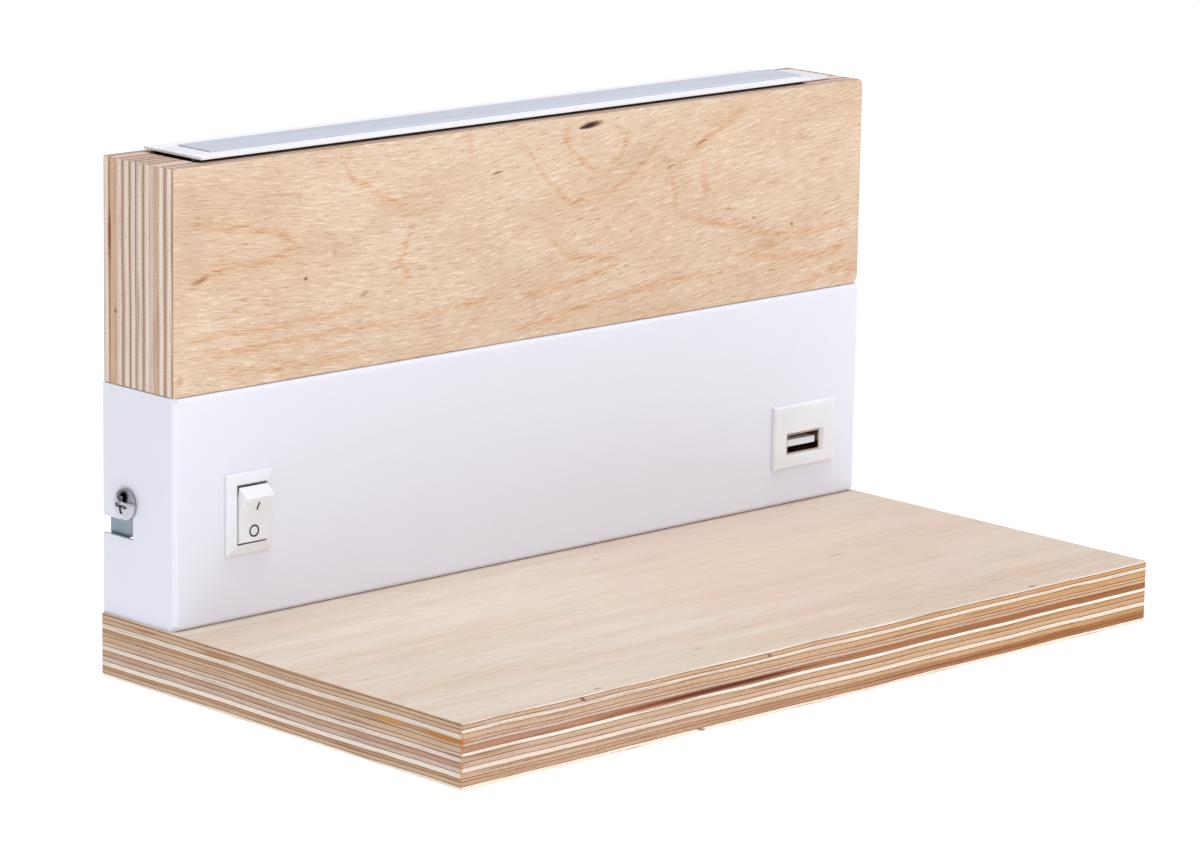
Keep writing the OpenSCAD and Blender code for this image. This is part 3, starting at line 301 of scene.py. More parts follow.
shelfMarks = [
    ((-45, -138, -36.9), (44, 4, 0.75), 0, 0.95, "#8A4420"),
    ((-34, -138, -36.8), (38, 4, 0.6), 0, 1.0, "#5A2206"),
    ((-101, -138, -36.6), (12, 4, 0.7), 0, 0.45, "#9E7E74"),
    ((60, -138, -36.9), (85, 4, 0.5), 0, 0.5, "#94562C"),
    ((58, -138, -45.2), (48, 4, 0.6), 0, 0.7, "#8E4E26"),
    ((-70, -138, -43.0), (60, 4, 0.5), 0, 0.5, "#9C6E50"),
    ((-86, -138, -31.3), (1.6, 4, 0.5), -30, 0.9, "#6E4A34"),
    ((-21, -138, -31.5), (1.3, 4, 0.5), -20, 0.8, "#6E4A34"),
    ((-45, -138, -46.4), (2.0, 4, 0.45), -10, 0.8, "#5E4636"),
    ((-125.75, -132, -35.1), (4, 11, 0.9), 0, 0.85, "#C07A2C"),
    ((-125.75, -112, -35.0), (4, 7, 1.3), 0, 0.6, "#CF9240"),
    ((-125.75, -47, -32.2), (4, 9, 0.6), 0, 0.7, "#B06A30"),
    ((-125.75, -18, -31.9), (4, 6, 0.5), 0, 0.6, "#A8602C"),
    ((-125.75, -66, -35.6), (4, 12, 0.5), 0, 0.4, "#B47A48"),
    ((-125.75, -138, -35.4), (0.7, 0.7, 3.0), 0, 0.8, "#B8733A"),
    ((-125.75, -138, -42.0), (0.6, 0.6, 6.0), 0, 0.6, "#C08A58"),
    ((65.0, -70, -30.25), (100, 75, 3), 0, 0.3, "#D6B8A4"),
    ((11.0, -41, -30.25), (1.8, 0.5, 3), 0, 0.6, "#9A785A"),
    ((-33.6, -125, -30.25), (2.2, 0.5, 3), 0, 0.6, "#A07C5C"),
    ((-42.5, -102, -30.25), (3.0, 0.5, 3), 0, 0.3, "#B08C6C"),
    ((-79.2, -136, -30.25), (1.6, 0.6, 3), 0, 0.7, "#8E6E50"),
    ((65.5, -79, -30.25), (4.5, 0.45, 3), 0, 0.6, "#8E6C50"),
    ((80.0, -136.6, -30.25), (1.8, 0.6, 3), 0, 0.8, "#6E5038"),
    ((77.0, -126, -30.25), (4.0, 0.5, 3), 0, 0.5, "#A07C5C"),
]

blockTone = {  # rotary cut birch veneer: warm, with short flecks that lean with the grain
    "fleck": (3.6, 40.0, 0.32),  # mm; a little coarser than real ones, which are too fine to show
    "fleckRamp": [(0.30, "#CFA982"), (0.43, "#E2C9AD"), (0.55, "#E2C9AD"), (0.70, "#F2E2CC")],
    "leanPoints": [(0, 0.34), (0.1, 0.24), (0.2, 0.16), (0.3, 0.124), (0.4, 0.144), (0.5, 0.244),
                   (0.6, 0.372), (0.8, 0.64), (1, 0.9)],
    "leanReach": 125.0,  # mm either side of the middle that the curve above spans
    "leanHeight": 25.0,  # mm that its values from 0 to 1 stand for
    "mottle": (34.0, 60.0, 14.0),  # mm
    "mottleRamp": [(0.36, "#F7F0EA"), (0.62, "#FFFFFF")],
}
shelfTone = {  # the same veneer, paler and straight, with long soft streaks
    "fleck": (14.0, 0.5, 40.0),
    "fleckRamp": [(0.30, "#D1BFAA"), (0.43, "#DCCFBE"), (0.55, "#DCCFBE"), (0.70, "#E4D9C8")],
    "mottle": (120.0, 8.0, 60.0),
    "mottleRamp": [(0.36, "#F8F0EA"), (0.62, "#FFFFFF")],
}
fleckReach = 0.9  # share of one cell of the noise that a fleck takes up
# open pores on the shelf's top; length and width in mm, from and to are noise values
shelfPores = {"length": 9.0, "width": 0.35, "colour": "#B99B80", "from": 0.70, "to": 0.80}


def plyStops(plies, tones, total):  # one flat colour for each ply by its depth
    half = plywood["glueLine"] / 2 if "glue" in tones else 0
    stops = []
    for start, tone in plies:
        if half and start > 0:
            stops.append(((start - half) / total, tones["glue"]))
        stops.append(((start + half if start > 0 else 0) / total, tones[tone]))
    return stops


def addPores(tree, place, axis, colour):
    # dark pores along the plies and a fine fibre grain across them
    fine = 1 / (plywood["streakWidth"] * mm)
    along = 1 / (plywood["streakLength"] * mm)
    scale = [fine if name == axis else along for name in "XYZ"]
    drawn = addNode(tree, "Mapping", {"Scale": scale}, {"Vector": place})
    pores = addNode(tree, "TexNoise", {"Scale": 1.0, "Detail": 3.0, "Roughness": 0.65},
                    {"Vector": drawn.outputs[0]})
    tone = addNode(tree, "ValToRGB", {"stops": plywood["streakRamp"]}, {"Fac": pores.outputs["Fac"]})
    streaked = addNode(tree, "MixRGB", {"blend_type": "MULTIPLY", "Fac": plywood["streakDepth"]},
                       {"Color1": colour, "Color2": tone.outputs[0]})
    fibreSize = plywood["fibreCoarser"] * plywood["fibre"] * mm
    fibre = addNode(tree, "TexNoise", {"Scale": 1 / fibreSize, "Detail": 2.0}, {"Vector": place})
    grain = addNode(tree, "ValToRGB", {"stops": plywood["fibreRamp"]}, {"Fac": fibre.outputs["Fac"]})
    return addNode(tree, "MixRGB", {"blend_type": "MULTIPLY", "Fac": plywood["fibreDepth"]},
                   {"Color1": streaked.outputs[0], "Color2": grain.outputs[0]}).outputs[0]


def depthShare(tree, place, axis, start, total):  # 0 at the first face, 1 at the last
    split = addNode(tree, "SeparateXYZ", links={0: place})
    wander = addNode(tree, "TexNoise", {"Scale": 1 / (plywood["waverSize"] * mm), "Detail": 2.0},
                     {"Vector": place})
    depth = addNode(tree, "Math", {"operation": "MULTIPLY_ADD", 1: -1 / (total * mm),
                                   2: start / (total * mm)}, {0: split.outputs[axis]})
    sway = plywood["waver"] / total
    waved = addNode(tree, "Math", {"operation": "MULTIPLY_ADD", 1: sway},
                    {0: wander.outputs["Fac"], 2: depth.outputs[0]})
    return addNode(tree, "Math", {"operation": "SUBTRACT", 1: sway / 2},
                   {0: waved.outputs[0]}).outputs[0]


def facing(tree, axis):  # 1 where the surface looks along the axis, either way
    normal = addNode(tree, "TexCoord").outputs["Normal"]
    split = addNode(tree, "SeparateXYZ", links={0: normal})
    size = addNode(tree, "Math", {"operation": "ABSOLUTE"}, {0: split.outputs[axis]})
    return addNode(tree, "Math", {"operation": "GREATER_THAN", 1: plywood["squareOn"]},
                   {0: size.outputs[0]}).outputs[0]


def veneer(tree, place, tone):
    # light and dark flecks over a mottled ground; gives the colour and the fleck height
    if "leanPoints" in tone:
        split = addNode(tree, "SeparateXYZ", links={0: place})
        reach = tone["leanReach"] * mm
        share = addNode(tree, "MapRange", {"From Min": -reach, "From Max": reach},
                        {"Value": split.outputs["X"]})
        lean = addNode(tree, "FloatCurve", {"points": tone["leanPoints"]}, {"Value": share.outputs[0]})
        turned = addNode(tree, "Math", {"operation": "MULTIPLY_ADD", 1: -tone["leanHeight"] * mm},
                         {0: lean.outputs[0], 2: split.outputs["Z"]})
        place = addNode(tree, "CombineXYZ", links={0: split.outputs["X"], 1: split.outputs["Y"],
                                                   2: turned.outputs[0]}).outputs[0]
    scale = [fleckReach / (size * mm) for size in tone["fleck"]]
    drawn = addNode(tree, "Mapping", {"Scale": scale}, {"Vector": place})
    flecks = addNode(tree, "TexNoise", {"Scale": 1.0, "Detail": 2.0, "Roughness": 0.6,
                                        "Distortion": 0.2}, {"Vector": drawn.outputs[0]})
    ground = addNode(tree, "ValToRGB", {"stops": tone["fleckRamp"]}, {"Fac": flecks.outputs["Fac"]})
    broad = addNode(tree, "Mapping", {"Scale": [1 / (size * mm) for size in tone["mottle"]]},
                    {"Vector": place})
    mottle = addNode(tree, "TexNoise", {"Scale": 1.0, "Detail": 3.0}, {"Vector": broad.outputs[0]})
    cloud = addNode(tree, "ValToRGB", {"stops": tone["mottleRamp"]}, {"Fac": mottle.outputs["Fac"]})
    colour = addNode(tree, "MixRGB", {"blend_type": "MULTIPLY", "Fac": 1.0},
                     {"Color1": ground.outputs[0], "Color2": cloud.outputs[0]})
    return colour.outputs[0], flecks.outputs["Fac"]


def drawGrowthLines(tree, place, fleck, colour):
    # each line is a curve through its points; flecks break it up and a noise makes it waver
    noise = addNode(tree, "TexNoise", {"Scale": 1 / (growth["warpSize"] * mm), "Detail": 2.0},
                    {"Vector": place})
    shift = addNode(tree, "VectorMath", {"operation": "MULTIPLY_ADD", 1: (growth["warp"] * mm,) * 3},
                    {0: noise.outputs["Color"], 2: place})
    warped = addNode(tree, "SeparateXYZ", links={0: shift.outputs[0]})
    offset = growth["warp"] / 2
    total = None
    for axis, points in growthLines:
        other = "Z" if axis == "X" else "X"
        start, end = points[0][0], points[-1][0]
        low = min(p[1] for p in points)
        high = max(p[1] for p in points)
        share = addNode(tree, "MapRange", {"From Min": (start + offset) * mm,
                                           "From Max": (end + offset) * mm},
                        {"Value": warped.outputs[axis]})
        shape = [((p[0] - start) / (end - start), (p[1] - low) / (high - low)) for p in points]
        curve = addNode(tree, "FloatCurve", {"points": shape}, {"Value": share.outputs[0]})
        aim = addNode(tree, "Math", {"operation": "MULTIPLY_ADD", 1: (high - low) * mm,
                                     2: (low + offset) * mm}, {0: curve.outputs[0]})
        gap = addNode(tree, "Math", {"operation": "SUBTRACT"},
                      {0: warped.outputs[other], 1: aim.outputs[0]})
        away = addNode(tree, "Math", {"operation": "ABSOLUTE"}, {0: gap.outputs[0]})
        line = addNode(tree, "MapRange", {"interpolation_type": "SMOOTHSTEP", "From Min": 0.0,
                                          "From Max": growth["halfWidth"] * mm, "To Min": 1.0,
                                          "To Max": 0.0}, {"Value": away.outputs[0]})
        ends = addNode(tree, "Math", {"operation": "PINGPONG", 1: 0.5}, {0: share.outputs[0]})
        fade = addNode(tree, "MapRange", {"From Max": growth["fade"]}, {"Value": ends.outputs[0]})
        drawn = addNode(tree, "Math", {"operation": "MULTIPLY"},
                        {0: line.outputs[0], 1: fade.outputs[0]})
        total = drawn.outputs[0] if total is None else addNode(
            tree, "Math", {"operation": "MAXIMUM"}, {0: drawn.outputs[0], 1: total}).outputs[0]
    dark, light = growth["flecks"]
    broken = addNode(tree, "MapRange", {"From Min": dark, "From Max": light, "To Min": growth["depth"],
                                        "To Max": growth["lightDepth"]}, {"Value": fleck})
    amount = addNode(tree, "Math", {"operation": "MULTIPLY"}, {0: total, 1: broken.outputs[0]})
    front = addNode(tree, "Math", {"operation": "LESS_THAN", 1: growth["frontBefore"] * mm},
                    {0: addNode(tree, "SeparateXYZ", links={0: place}).outputs["Y"]})
    shown = addNode(tree, "Math", {"operation": "MULTIPLY"},
                    {0: amount.outputs[0], 1: front.outputs[0]})
    return addNode(tree, "MixRGB", {"blend_type": "MULTIPLY", "Color2": toLinear(growth["colour"])},
                   {"Fac": shown.outputs[0], "Color1": colour}).outputs[0]


def drawMarks(tree, place, marks, colour):
    for centre, size, angle, strength, tone in marks:
        spot = addNode(tree, "Mapping", {"vector_type": "TEXTURE", "Location": [c * mm for c in centre],
                                         "Rotation": (0, -math.radians(angle), 0),
                                         "Scale": [s * mm for s in size]}, {"Vector": place})
        blob = addNode(tree, "TexGradient", {"gradient_type": "SPHERICAL"}, {"Vector": spot.outputs[0]})
        soft = addNode(tree, "MapRange", {"From Max": markFade, "To Max": strength},
                       {"Value": blob.outputs["Fac"]})
        colour = addNode(tree, "MixRGB", {"Color2": toLinear(tone)},
                         {"Fac": soft.outputs[0], "Color1": colour}).outputs[0]
    return colour


def finishWood(tree, shader, colour, fleck):
    tree.links.new(colour, shader.inputs["Base Color"])
    low, high = plywood["rough"]
    rough = addNode(tree, "MapRange", {"To Min": low, "To Max": high}, {"Value": fleck})
    tree.links.new(rough.outputs[0], shader.inputs["Roughness"])
    bump = addNode(tree, "Bump", {"Strength": plywood["bumpStrength"],
                                  "Distance": plywood["bump"] * mm}, {"Height": fleck})
    tree.links.new(bump.outputs[0], shader.inputs["Normal"])
    shader.inputs["Specular IOR Level"].default_value = plywood["specular"]


def makeBlockWood(low, high):  # plies stand on edge, so the wide faces look along Y
    material, tree, shader = startMaterial("birchPlywoodBlock")
    place = addNode(tree, "TexCoord").outputs["Object"]
    total = (high.y - low.y) / mm
    share = depthShare(tree, place, "Y", high.y, total)
    ends, sides = [addNode(tree, "ValToRGB", {"interpolation": "CONSTANT",
                                              "stops": plyStops(blockPlies, tones, total)},
                           {"Fac": share}).outputs[0] for tones in (blockEndTones, blockSideTones)]
    plies = addNode(tree, "MixRGB", links={"Fac": facing(tree, "X"), "Color1": sides, "Color2": ends})
    edge = addPores(tree, place, "Y", plies.outputs[0])
    face, fleck = veneer(tree, place, blockTone)
    face = drawGrowthLines(tree, place, fleck, face)
    colour = addNode(tree, "MixRGB", links={"Fac": facing(tree, "Y"), "Color1": edge, "Color2": face})
    finishWood(tree, shader, drawMarks(tree, place, blockMarks, colour.outputs[0]), fleck)
    return material


def makeShelfWood(low, high):  # plies lie flat
    material, tree, shader = startMaterial("birchPlywoodShelf")
    place = addNode(tree, "TexCoord").outputs["Object"]
    total = (high.z - low.z) / mm
    share = depthShare(tree, place, "Z", high.z, total)
    longPlies = [(start, tone) for start, tone, endTone in shelfPlies]
    endPlies = [(start, endTone) for start, tone, endTone in shelfPlies]
    left, right, ends = [addNode(tree, "ValToRGB", {"interpolation": "CONSTANT",
                                                    "stops": plyStops(plies, tones, total)},
                                 {"Fac": share}).outputs[0]
                         for plies, tones in ((longPlies, shelfLeftTones), (longPlies, shelfRightTones),
                                              (endPlies, shelfEndTones))]
    split = addNode(tree, "SeparateXYZ", links={0: place})
    across = addNode(tree, "MapRange", {"From Min": shelfBlend[0] * mm, "From Max": shelfBlend[1] * mm},
                     {"Value": split.outputs["X"]})
    fronts = addNode(tree, "MixRGB", links={"Fac": across.outputs[0], "Color1": left, "Color2": right})
    sides = addNode(tree, "MixRGB", links={"Fac": facing(tree, "X"), "Color1": fronts.outputs[0],
                                           "Color2": ends})
    edge = addPores(tree, place, "Z", sides.outputs[0])
    face, fleck = veneer(tree, place, shelfTone)
    scale = (1 / (shelfPores["length"] * mm), 1 / (shelfPores["width"] * mm), 1.0)
    drawn = addNode(tree, "Mapping", {"Scale": scale}, {"Vector": place})
    specks = addNode(tree, "TexNoise", {"Scale": 1.0, "Detail": 1.0}, {"Vector": drawn.outputs[0]})
    amount = addNode(tree, "MapRange", {"From Min": shelfPores["from"], "From Max": shelfPores["to"]},
                     {"Value": specks.outputs["Fac"]})
    porous = addNode(tree, "MixRGB", {"Color2": toLinear(shelfPores["colour"])},
                     {"Fac": amount.outputs[0], "Color1": face})
    colour = addNode(tree, "MixRGB", links={"Fac": facing(tree, "Z"), "Color1": edge,
                                            "Color2": porous.outputs[0]})
    finishWood(tree, shader, drawMarks(tree, place, shelfMarks, colour.outputs[0]), fleck)
    return material


def makeBoard(low, high, roundEdges):
    # roundEdges holds a pick function and a radius in mm for each group of worn edges
    bm = bmesh.new()
    bmesh.ops.create_cube(bm, size=1.0)
    bmesh.ops.scale(bm, vec=high - low, verts=bm.verts)
    bmesh.ops.translate(bm, vec=(low + high) / 2, verts=bm.verts)
    for pick, radius in roundEdges:
        worn = [e for e in bm.edges if pick(e.verts[0].co, e.verts[1].co)]
        bmesh.ops.bevel(bm, geom=worn, offset=radius * mm, offset_type="OFFSET",
                        segments=plywood["wornSegments"], profile=0.5, affect="EDGES", material=-1)
    softenEdges(bm, plywood["sanded"] * mm, plywood["sandedSegments"], plywood["sandedAbove"])
    return bm


def onEdge(**limits):  # gives a pick function for edges whose two ends both lie at the given places
    def pick(a, b):
        return all(abs(getattr(end, axis) - value) < meshing["touching"]
                   for end in (a, b) for axis, value in limits.items())
    return pick


def cutGroove(bm, low, high):  # sinks the part of the top face between two corners
    for axis in (0, 1):
        for limit in (low[axis], high[axis]):
            point = Vector((0, 0, 0))
            point[axis] = limit
            normal = Vector((0, 0, 0))
            normal[axis] = 1
            bmesh.ops.bisect_plane(bm, geom=list(bm.verts) + list(bm.edges) + list(bm.faces),
                                   plane_co=point, plane_no=normal)
    top = max(v.co.z for v in bm.verts)
    inside = [f for f in bm.faces
              if f.calc_center_median().z > top - meshing["touching"]
              and low[0] < f.calc_center_median().x < high[0]
              and low[1] < f.calc_center_median().y < high[1]]
    grown = bmesh.ops.extrude_face_region(bm, geom=inside)
    floor = [g for g in grown["geom"] if isinstance(g, bmesh.types.BMVert)]
    bmesh.ops.translate(bm, vec=(0, 0, low[2] - top), verts=floor)
    bmesh.ops.delete(bm, geom=inside, context="FACES_ONLY")


blockLow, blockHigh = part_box("wood_block")
shelfLow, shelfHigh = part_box("shelf_board")
profileLow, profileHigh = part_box("led_profile")
groove = {"half": 8.7, "gap": 0.3, "plugBody": 4.8}  # mm, as the trough and the plug's body
wornEdges = {"blockTop": 2.0, "blockFoot": 2.5, "shelfCorner": 1.2, "shelfFoot": 1.0}  # mm, radii

blockMesh = makeBoard(blockLow, blockHigh, [
    (onEdge(x=blockHigh.x, z=blockHigh.z), wornEdges["blockTop"]),
    (onEdge(x=blockHigh.x, z=blockLow.z), wornEdges["blockFoot"]),
])
grooveMiddle = (profileLow.y + profileHigh.y) / 2
grooveReach = (groove["half"] + groove["gap"]) * mm
cutGroove(blockMesh,
          (profileLow.x - groove["gap"] * mm, grooveMiddle - grooveReach, profileLow.z),
          (profileHigh.x + groove["plugBody"] * mm, grooveMiddle + grooveReach, blockHigh.z))
finishPiece(blockMesh, "woodBlock", "lamp", makeBlockWood(blockLow, blockHigh), ["wood_block"])
shelfMesh = makeBoard(shelfLow, shelfHigh, [
    (onEdge(x=shelfHigh.x, y=shelfLow.y), wornEdges["shelfCorner"]),
    (onEdge(x=shelfLow.x, z=shelfLow.z), wornEdges["shelfFoot"]),
])
finishPiece(shelfMesh, "shelfBoard", "lamp", makeShelfWood(shelfLow, shelfHigh), ["shelf_board"])
print("wood made")

# in each finish: grain is the size of the surface pattern in mm, bump its height, cloud its change of
# tone, soak the share of light that goes in, to soakDepth in mm
finishes = {
    # cured polyester powder on steel: satin white with a fine orange peel
    "powderCoatSteel": {"colour": "#EDEEF6", "rough": 0.42, "grain": 1.1, "bump": 0.008,
                        "cloud": 0.012},
    # hot dipped zinc on steel strip: blue grey, half matt, cloudy
    "zincPlatedStrip": {"colour": "#93A2AC", "metal": 1.0, "rough": 0.38, "grain": 3.0, "cloud": 0.18,
                        "bump": 0.01},
    # bright chrome on a turned screw head: a clear dark mirror
    "chromedSteel": {"colour": "#B4B4B8", "metal": 1.0, "rough": 0.07, "grain": 1.5, "bump": 0.002},
    # zinc plated screws: a brighter, smoother grey than the strip
    "zincScrewSteel": {"colour": "#C9CACD", "metal": 1.0, "rough": 0.3, "grain": 1.5, "cloud": 0.2,
                       "bump": 0.004},
    # moulded ABS: even, slight sheen, and light that soaks in and softens its gaps
    "mouldedAbs": {"colour": "#F1F2F3", "rough": 0.3, "grain": 1.6, "bump": 0.003, "soak": 0.5,
                   "soakDepth": 1.2},
    # white nylon plug: a little duller and warmer than the switch
    "mouldedPlug": {"colour": "#F4F4F4", "rough": 0.35, "grain": 1.2, "bump": 0.003},
    # pad printed ink: black and thin, with little gloss
    "padPrintInk": {"colour": "#0B0B0D", "rough": 0.5, "grain": 0.3, "bump": 0.002},
    # stamped brass: yellow metal with a soft shine
    "stampedBrass": {"colour": "#D9A460", "metal": 1.0, "rough": 0.28, "grain": 1.0, "bump": 0.003},
    # nickel on a folded steel shell: warm grey, glossy
    "nickelPlatedShell": {"colour": "#B9A999", "metal": 1.0, "rough": 0.2, "grain": 1.2, "bump": 0.002},
    # glass epoxy under green lacquer: the weave shows as faint cloud
    "epoxyBoard": {"colour": "#1E6B41", "rough": 0.35, "grain": 0.8, "cloud": 0.15, "bump": 0.006},
    # moulded epoxy around chips: matt black
    "blackEpoxy": {"colour": "#26262A", "rough": 0.5, "grain": 0.5, "bump": 0.006},
    # white solder mask on the strip: even and slightly glossy
    "whiteSolderMask": {"colour": "#F2F2EE", "rough": 0.4, "grain": 0.8, "bump": 0.004},
    # silicone with phosphor over the LEDs: yellow, wet looking
    "phosphorResin": {"colour": "#EFD27A", "rough": 0.15, "grain": 0.5, "bump": 0.002},
    # moulded polycarbonate of the driver's case: pale grey with a fine spark finish
    "mouldedPolycarbonate": {"colour": "#E4E4E0", "rough": 0.5, "grain": 0.9, "bump": 0.01},
    # undyed nylon: cream, waxy
    "naturalNylon": {"colour": "#E9E3CE", "rough": 0.4, "grain": 1.0, "bump": 0.006},
    # moulded rubber: almost black, matt
    "mouldedRubber": {"colour": "#2A2A2C", "rough": 0.7, "grain": 0.6, "bump": 0.01},
    # extruded PVC on the leads, in three colours: even, with a soft shine
    "brownPvc": {"colour": "#6B4226", "rough": 0.4, "grain": 0.8, "bump": 0.006},
    "greenYellowPvc": {"colour": "#7FA52B", "rough": 0.4, "grain": 0.8, "bump": 0.006},
    "redPvc": {"colour": "#B3332A", "rough": 0.4, "grain": 0.8, "bump": 0.006},
}
surface = {
    "cloudSize": 11.111,  # mm
    "plainCloud": 0.05,  # for a finish that gives no cloud
    "cloudRange": (0.3, 0.7),  # noise values of the darkest and the brightest cloud
    "roughSpread": 0.15,  # share by which the roughness goes down and up
}


def makeFinish(name, spec):
    material, tree, shader = startMaterial(name)
    place = addNode(tree, "TexCoord").outputs["Object"]
    grain = addNode(tree, "TexNoise", {"Scale": 1 / (spec["grain"] * mm), "Detail": 3.0},
                    {"Vector": place})
    bump = addNode(tree, "Bump", {"Strength": 1.0, "Distance": spec["bump"] * mm},
                   {"Height": grain.outputs["Fac"]})
    broad = addNode(tree, "TexNoise", {"Scale": 1 / (surface["cloudSize"] * mm), "Detail": 3.0},
                    {"Vector": place})
    darkest, brightest = surface["cloudRange"]
    tone = addNode(tree, "MapRange", {"From Min": darkest, "From Max": brightest,
                                      "To Min": 1 - spec.get("cloud", surface["plainCloud"])},
                   {"Value": broad.outputs["Fac"]})
    shade = addNode(tree, "CombineColor", links={0: tone.outputs[0], 1: tone.outputs[0],
                                                 2: tone.outputs[0]})
    colour = addNode(tree, "MixRGB", {"blend_type": "MULTIPLY", "Fac": 1.0,
                                      "Color1": toLinear(spec["colour"])}, {"Color2": shade.outputs[0]})
    rough = addNode(tree, "MapRange", {"To Min": spec["rough"] * (1 - surface["roughSpread"]),
                                       "To Max": spec["rough"] * (1 + surface["roughSpread"])},
                    {"Value": broad.outputs["Fac"]})
    tree.links.new(colour.outputs[0], shader.inputs["Base Color"])
    tree.links.new(rough.outputs[0], shader.inputs["Roughness"])
    tree.links.new(bump.outputs[0], shader.inputs["Normal"])
    shader.inputs["Metallic"].default_value = spec.get("metal", 0.0)
    if "soak" in spec:
        shader.inputs["Subsurface Weight"].default_value = spec["soak"]
        shader.inputs["Subsurface Scale"].default_value = spec["soakDepth"] * mm
        shader.inputs["Subsurface Radius"].default_value = (1, 1, 1)
    return material


materials = {name: makeFinish(name, spec) for name, spec in finishes.items()}

# flange is the thickness of the rim, overlap how far the painted shade reaches up past its underside,
# both in mm
coatWithPaintedShade = {
    # powder coat on extruded aluminium: bright white above; below the rim a near black painted shade
    # for the shadow that falls under it and into the trough
    "coatedAluminium": {"coat": "#FDFDFE", "paintedShade": "#2E2A2C", "flange": 0.7, "overlap": 0.05,
                        "rough": 0.35, "grain": 1.0, "bump": 0.006},
    # white nylon plug, with the same painted shade below its rim for the shadow under it
    "mouldedEndPlug": {"coat": "#F4F4F4", "paintedShade": "#2E2A2C", "flange": 0.7, "overlap": 0.05,
                       "rough": 0.35, "grain": 1.0, "bump": 0.006},
}


def makeCoatWithPaintedShade(name, spec, topZ):  # topZ is the top of the rim, in m
    material, tree, shader = startMaterial(name)
    place = addNode(tree, "TexCoord").outputs["Object"]
    split = addNode(tree, "SeparateXYZ", links={0: place})
    border = topZ - (spec["flange"] - spec["overlap"]) * mm
    # painted shade: below this height the colour turns dark, for the shadow under the rim
    low = addNode(tree, "Math", {"operation": "LESS_THAN", 1: border}, {0: split.outputs["Z"]})
    colour = addNode(tree, "MixRGB", {"Color1": toLinear(spec["coat"]),
                                      "Color2": toLinear(spec["paintedShade"])}, {"Fac": low.outputs[0]})
    tree.links.new(colour.outputs[0], shader.inputs["Base Color"])
    grain = addNode(tree, "TexNoise", {"Scale": 1 / (spec["grain"] * mm), "Detail": 3.0},
                    {"Vector": place})
    bump = addNode(tree, "Bump", {"Strength": 1.0, "Distance": spec["bump"] * mm},
                   {"Height": grain.outputs["Fac"]})
    tree.links.new(bump.outputs[0], shader.inputs["Normal"])
    shader.inputs["Roughness"].default_value = spec["rough"]
    return material


for name, spec in coatWithPaintedShade.items():
    materials[name] = makeCoatWithPaintedShade(name, spec, profileHigh.z)

# extruded opal polycarbonate: pale blue grey and milky, with faint lines along it and a soft gloss
cover = {
    "line": (83.333, 1.1111, 1.1111),  # mm, as long and as wide as the extrusion lines
    "lineRamp": [(0.3, "#C3C9D4"), (0.7, "#D3D8E1")],
    "bump": 0.01,  # mm
    "bumpStrength": 0.4,
    "rough": 0.38,
    "milk": 0.15,
    "milkDepth": 1.5,  # mm
}


def makeFrostedCover(spec):
    material, tree, shader = startMaterial("frostedPolycarbonate")
    place = addNode(tree, "TexCoord").outputs["Object"]
    drawn = addNode(tree, "Mapping", {"Scale": [1 / (size * mm) for size in spec["line"]]},
                    {"Vector": place})
    lines = addNode(tree, "TexNoise", {"Scale": 1.0, "Detail": 2.0}, {"Vector": drawn.outputs[0]})
    colour = addNode(tree, "ValToRGB", {"stops": spec["lineRamp"]}, {"Fac": lines.outputs["Fac"]})
    tree.links.new(colour.outputs[0], shader.inputs["Base Color"])
    bump = addNode(tree, "Bump", {"Strength": spec["bumpStrength"], "Distance": spec["bump"] * mm},
                   {"Height": lines.outputs["Fac"]})
    tree.links.new(bump.outputs[0], shader.inputs["Normal"])
    shader.inputs["Roughness"].default_value = spec["rough"]
    shader.inputs["Subsurface Weight"].default_value = spec["milk"]
    shader.inputs["Subsurface Scale"].default_value = spec["milkDepth"] * mm
    shader.inputs["Subsurface Radius"].default_value = (1, 1, 1)
    return material


materials["frostedPolycarbonate"] = makeFrostedCover(cover)

# piece name, node, finish, body, slot, width of the softened edges in mm
softPieces = [
    ("switchBody", "switch_case", "mouldedAbs", "lamp", "white_plastic", 0.12),
    ("switchRocker", "switch_rocker", "mouldedAbs", "rocker", "white_plastic", 0.25),
    ("usbPlate", "usb_plate", "mouldedAbs", "lamp", "white_plastic", 0.12),
    ("usbTongue", "usb_tongue", "mouldedAbs", "lamp", "white_plastic", 0.1),
    ("usbShell", "usb_shell", "nickelPlatedShell", "lamp", "nickel_shell", 0.05),
    ("hookScrews", "hook_screws", "chromedSteel", "bracket", "chrome_screw", 0.12),
    ("wallBracket", "wall_bracket", "zincPlatedStrip", "bracket", "galvanised_steel", 0.12),
    ("steelHousing", "housing", "powderCoatSteel", "lamp", "powder_coated_steel", 0.12),
    ("ledProfile", "led_profile", "coatedAluminium", "lamp", "white_profile", 0.08),
    ("ledDiffuser", "led_diffuser", "frostedPolycarbonate", "lamp", "frosted_cover", 0.15),
    ("plugLeft", "profile_plug_left", "mouldedEndPlug", "lamp", "profile_plug", 0.08),
    ("plugRight", "profile_plug_right", "mouldedPlug", "lamp", "profile_plug", 0.1),
]
softening = {"segments": 2, "above": 30}  # above: degrees that an edge has to turn by
for pieceName, nodeName, finish, body, slot, width in softPieces:
    bm = mergedCopy(nodeName)
    softenEdges(bm, width * mm, softening["segments"], softening["above"])
    finishPiece(bm, pieceName, body, materials[finish], [nodeName])
print("visible pieces softened")

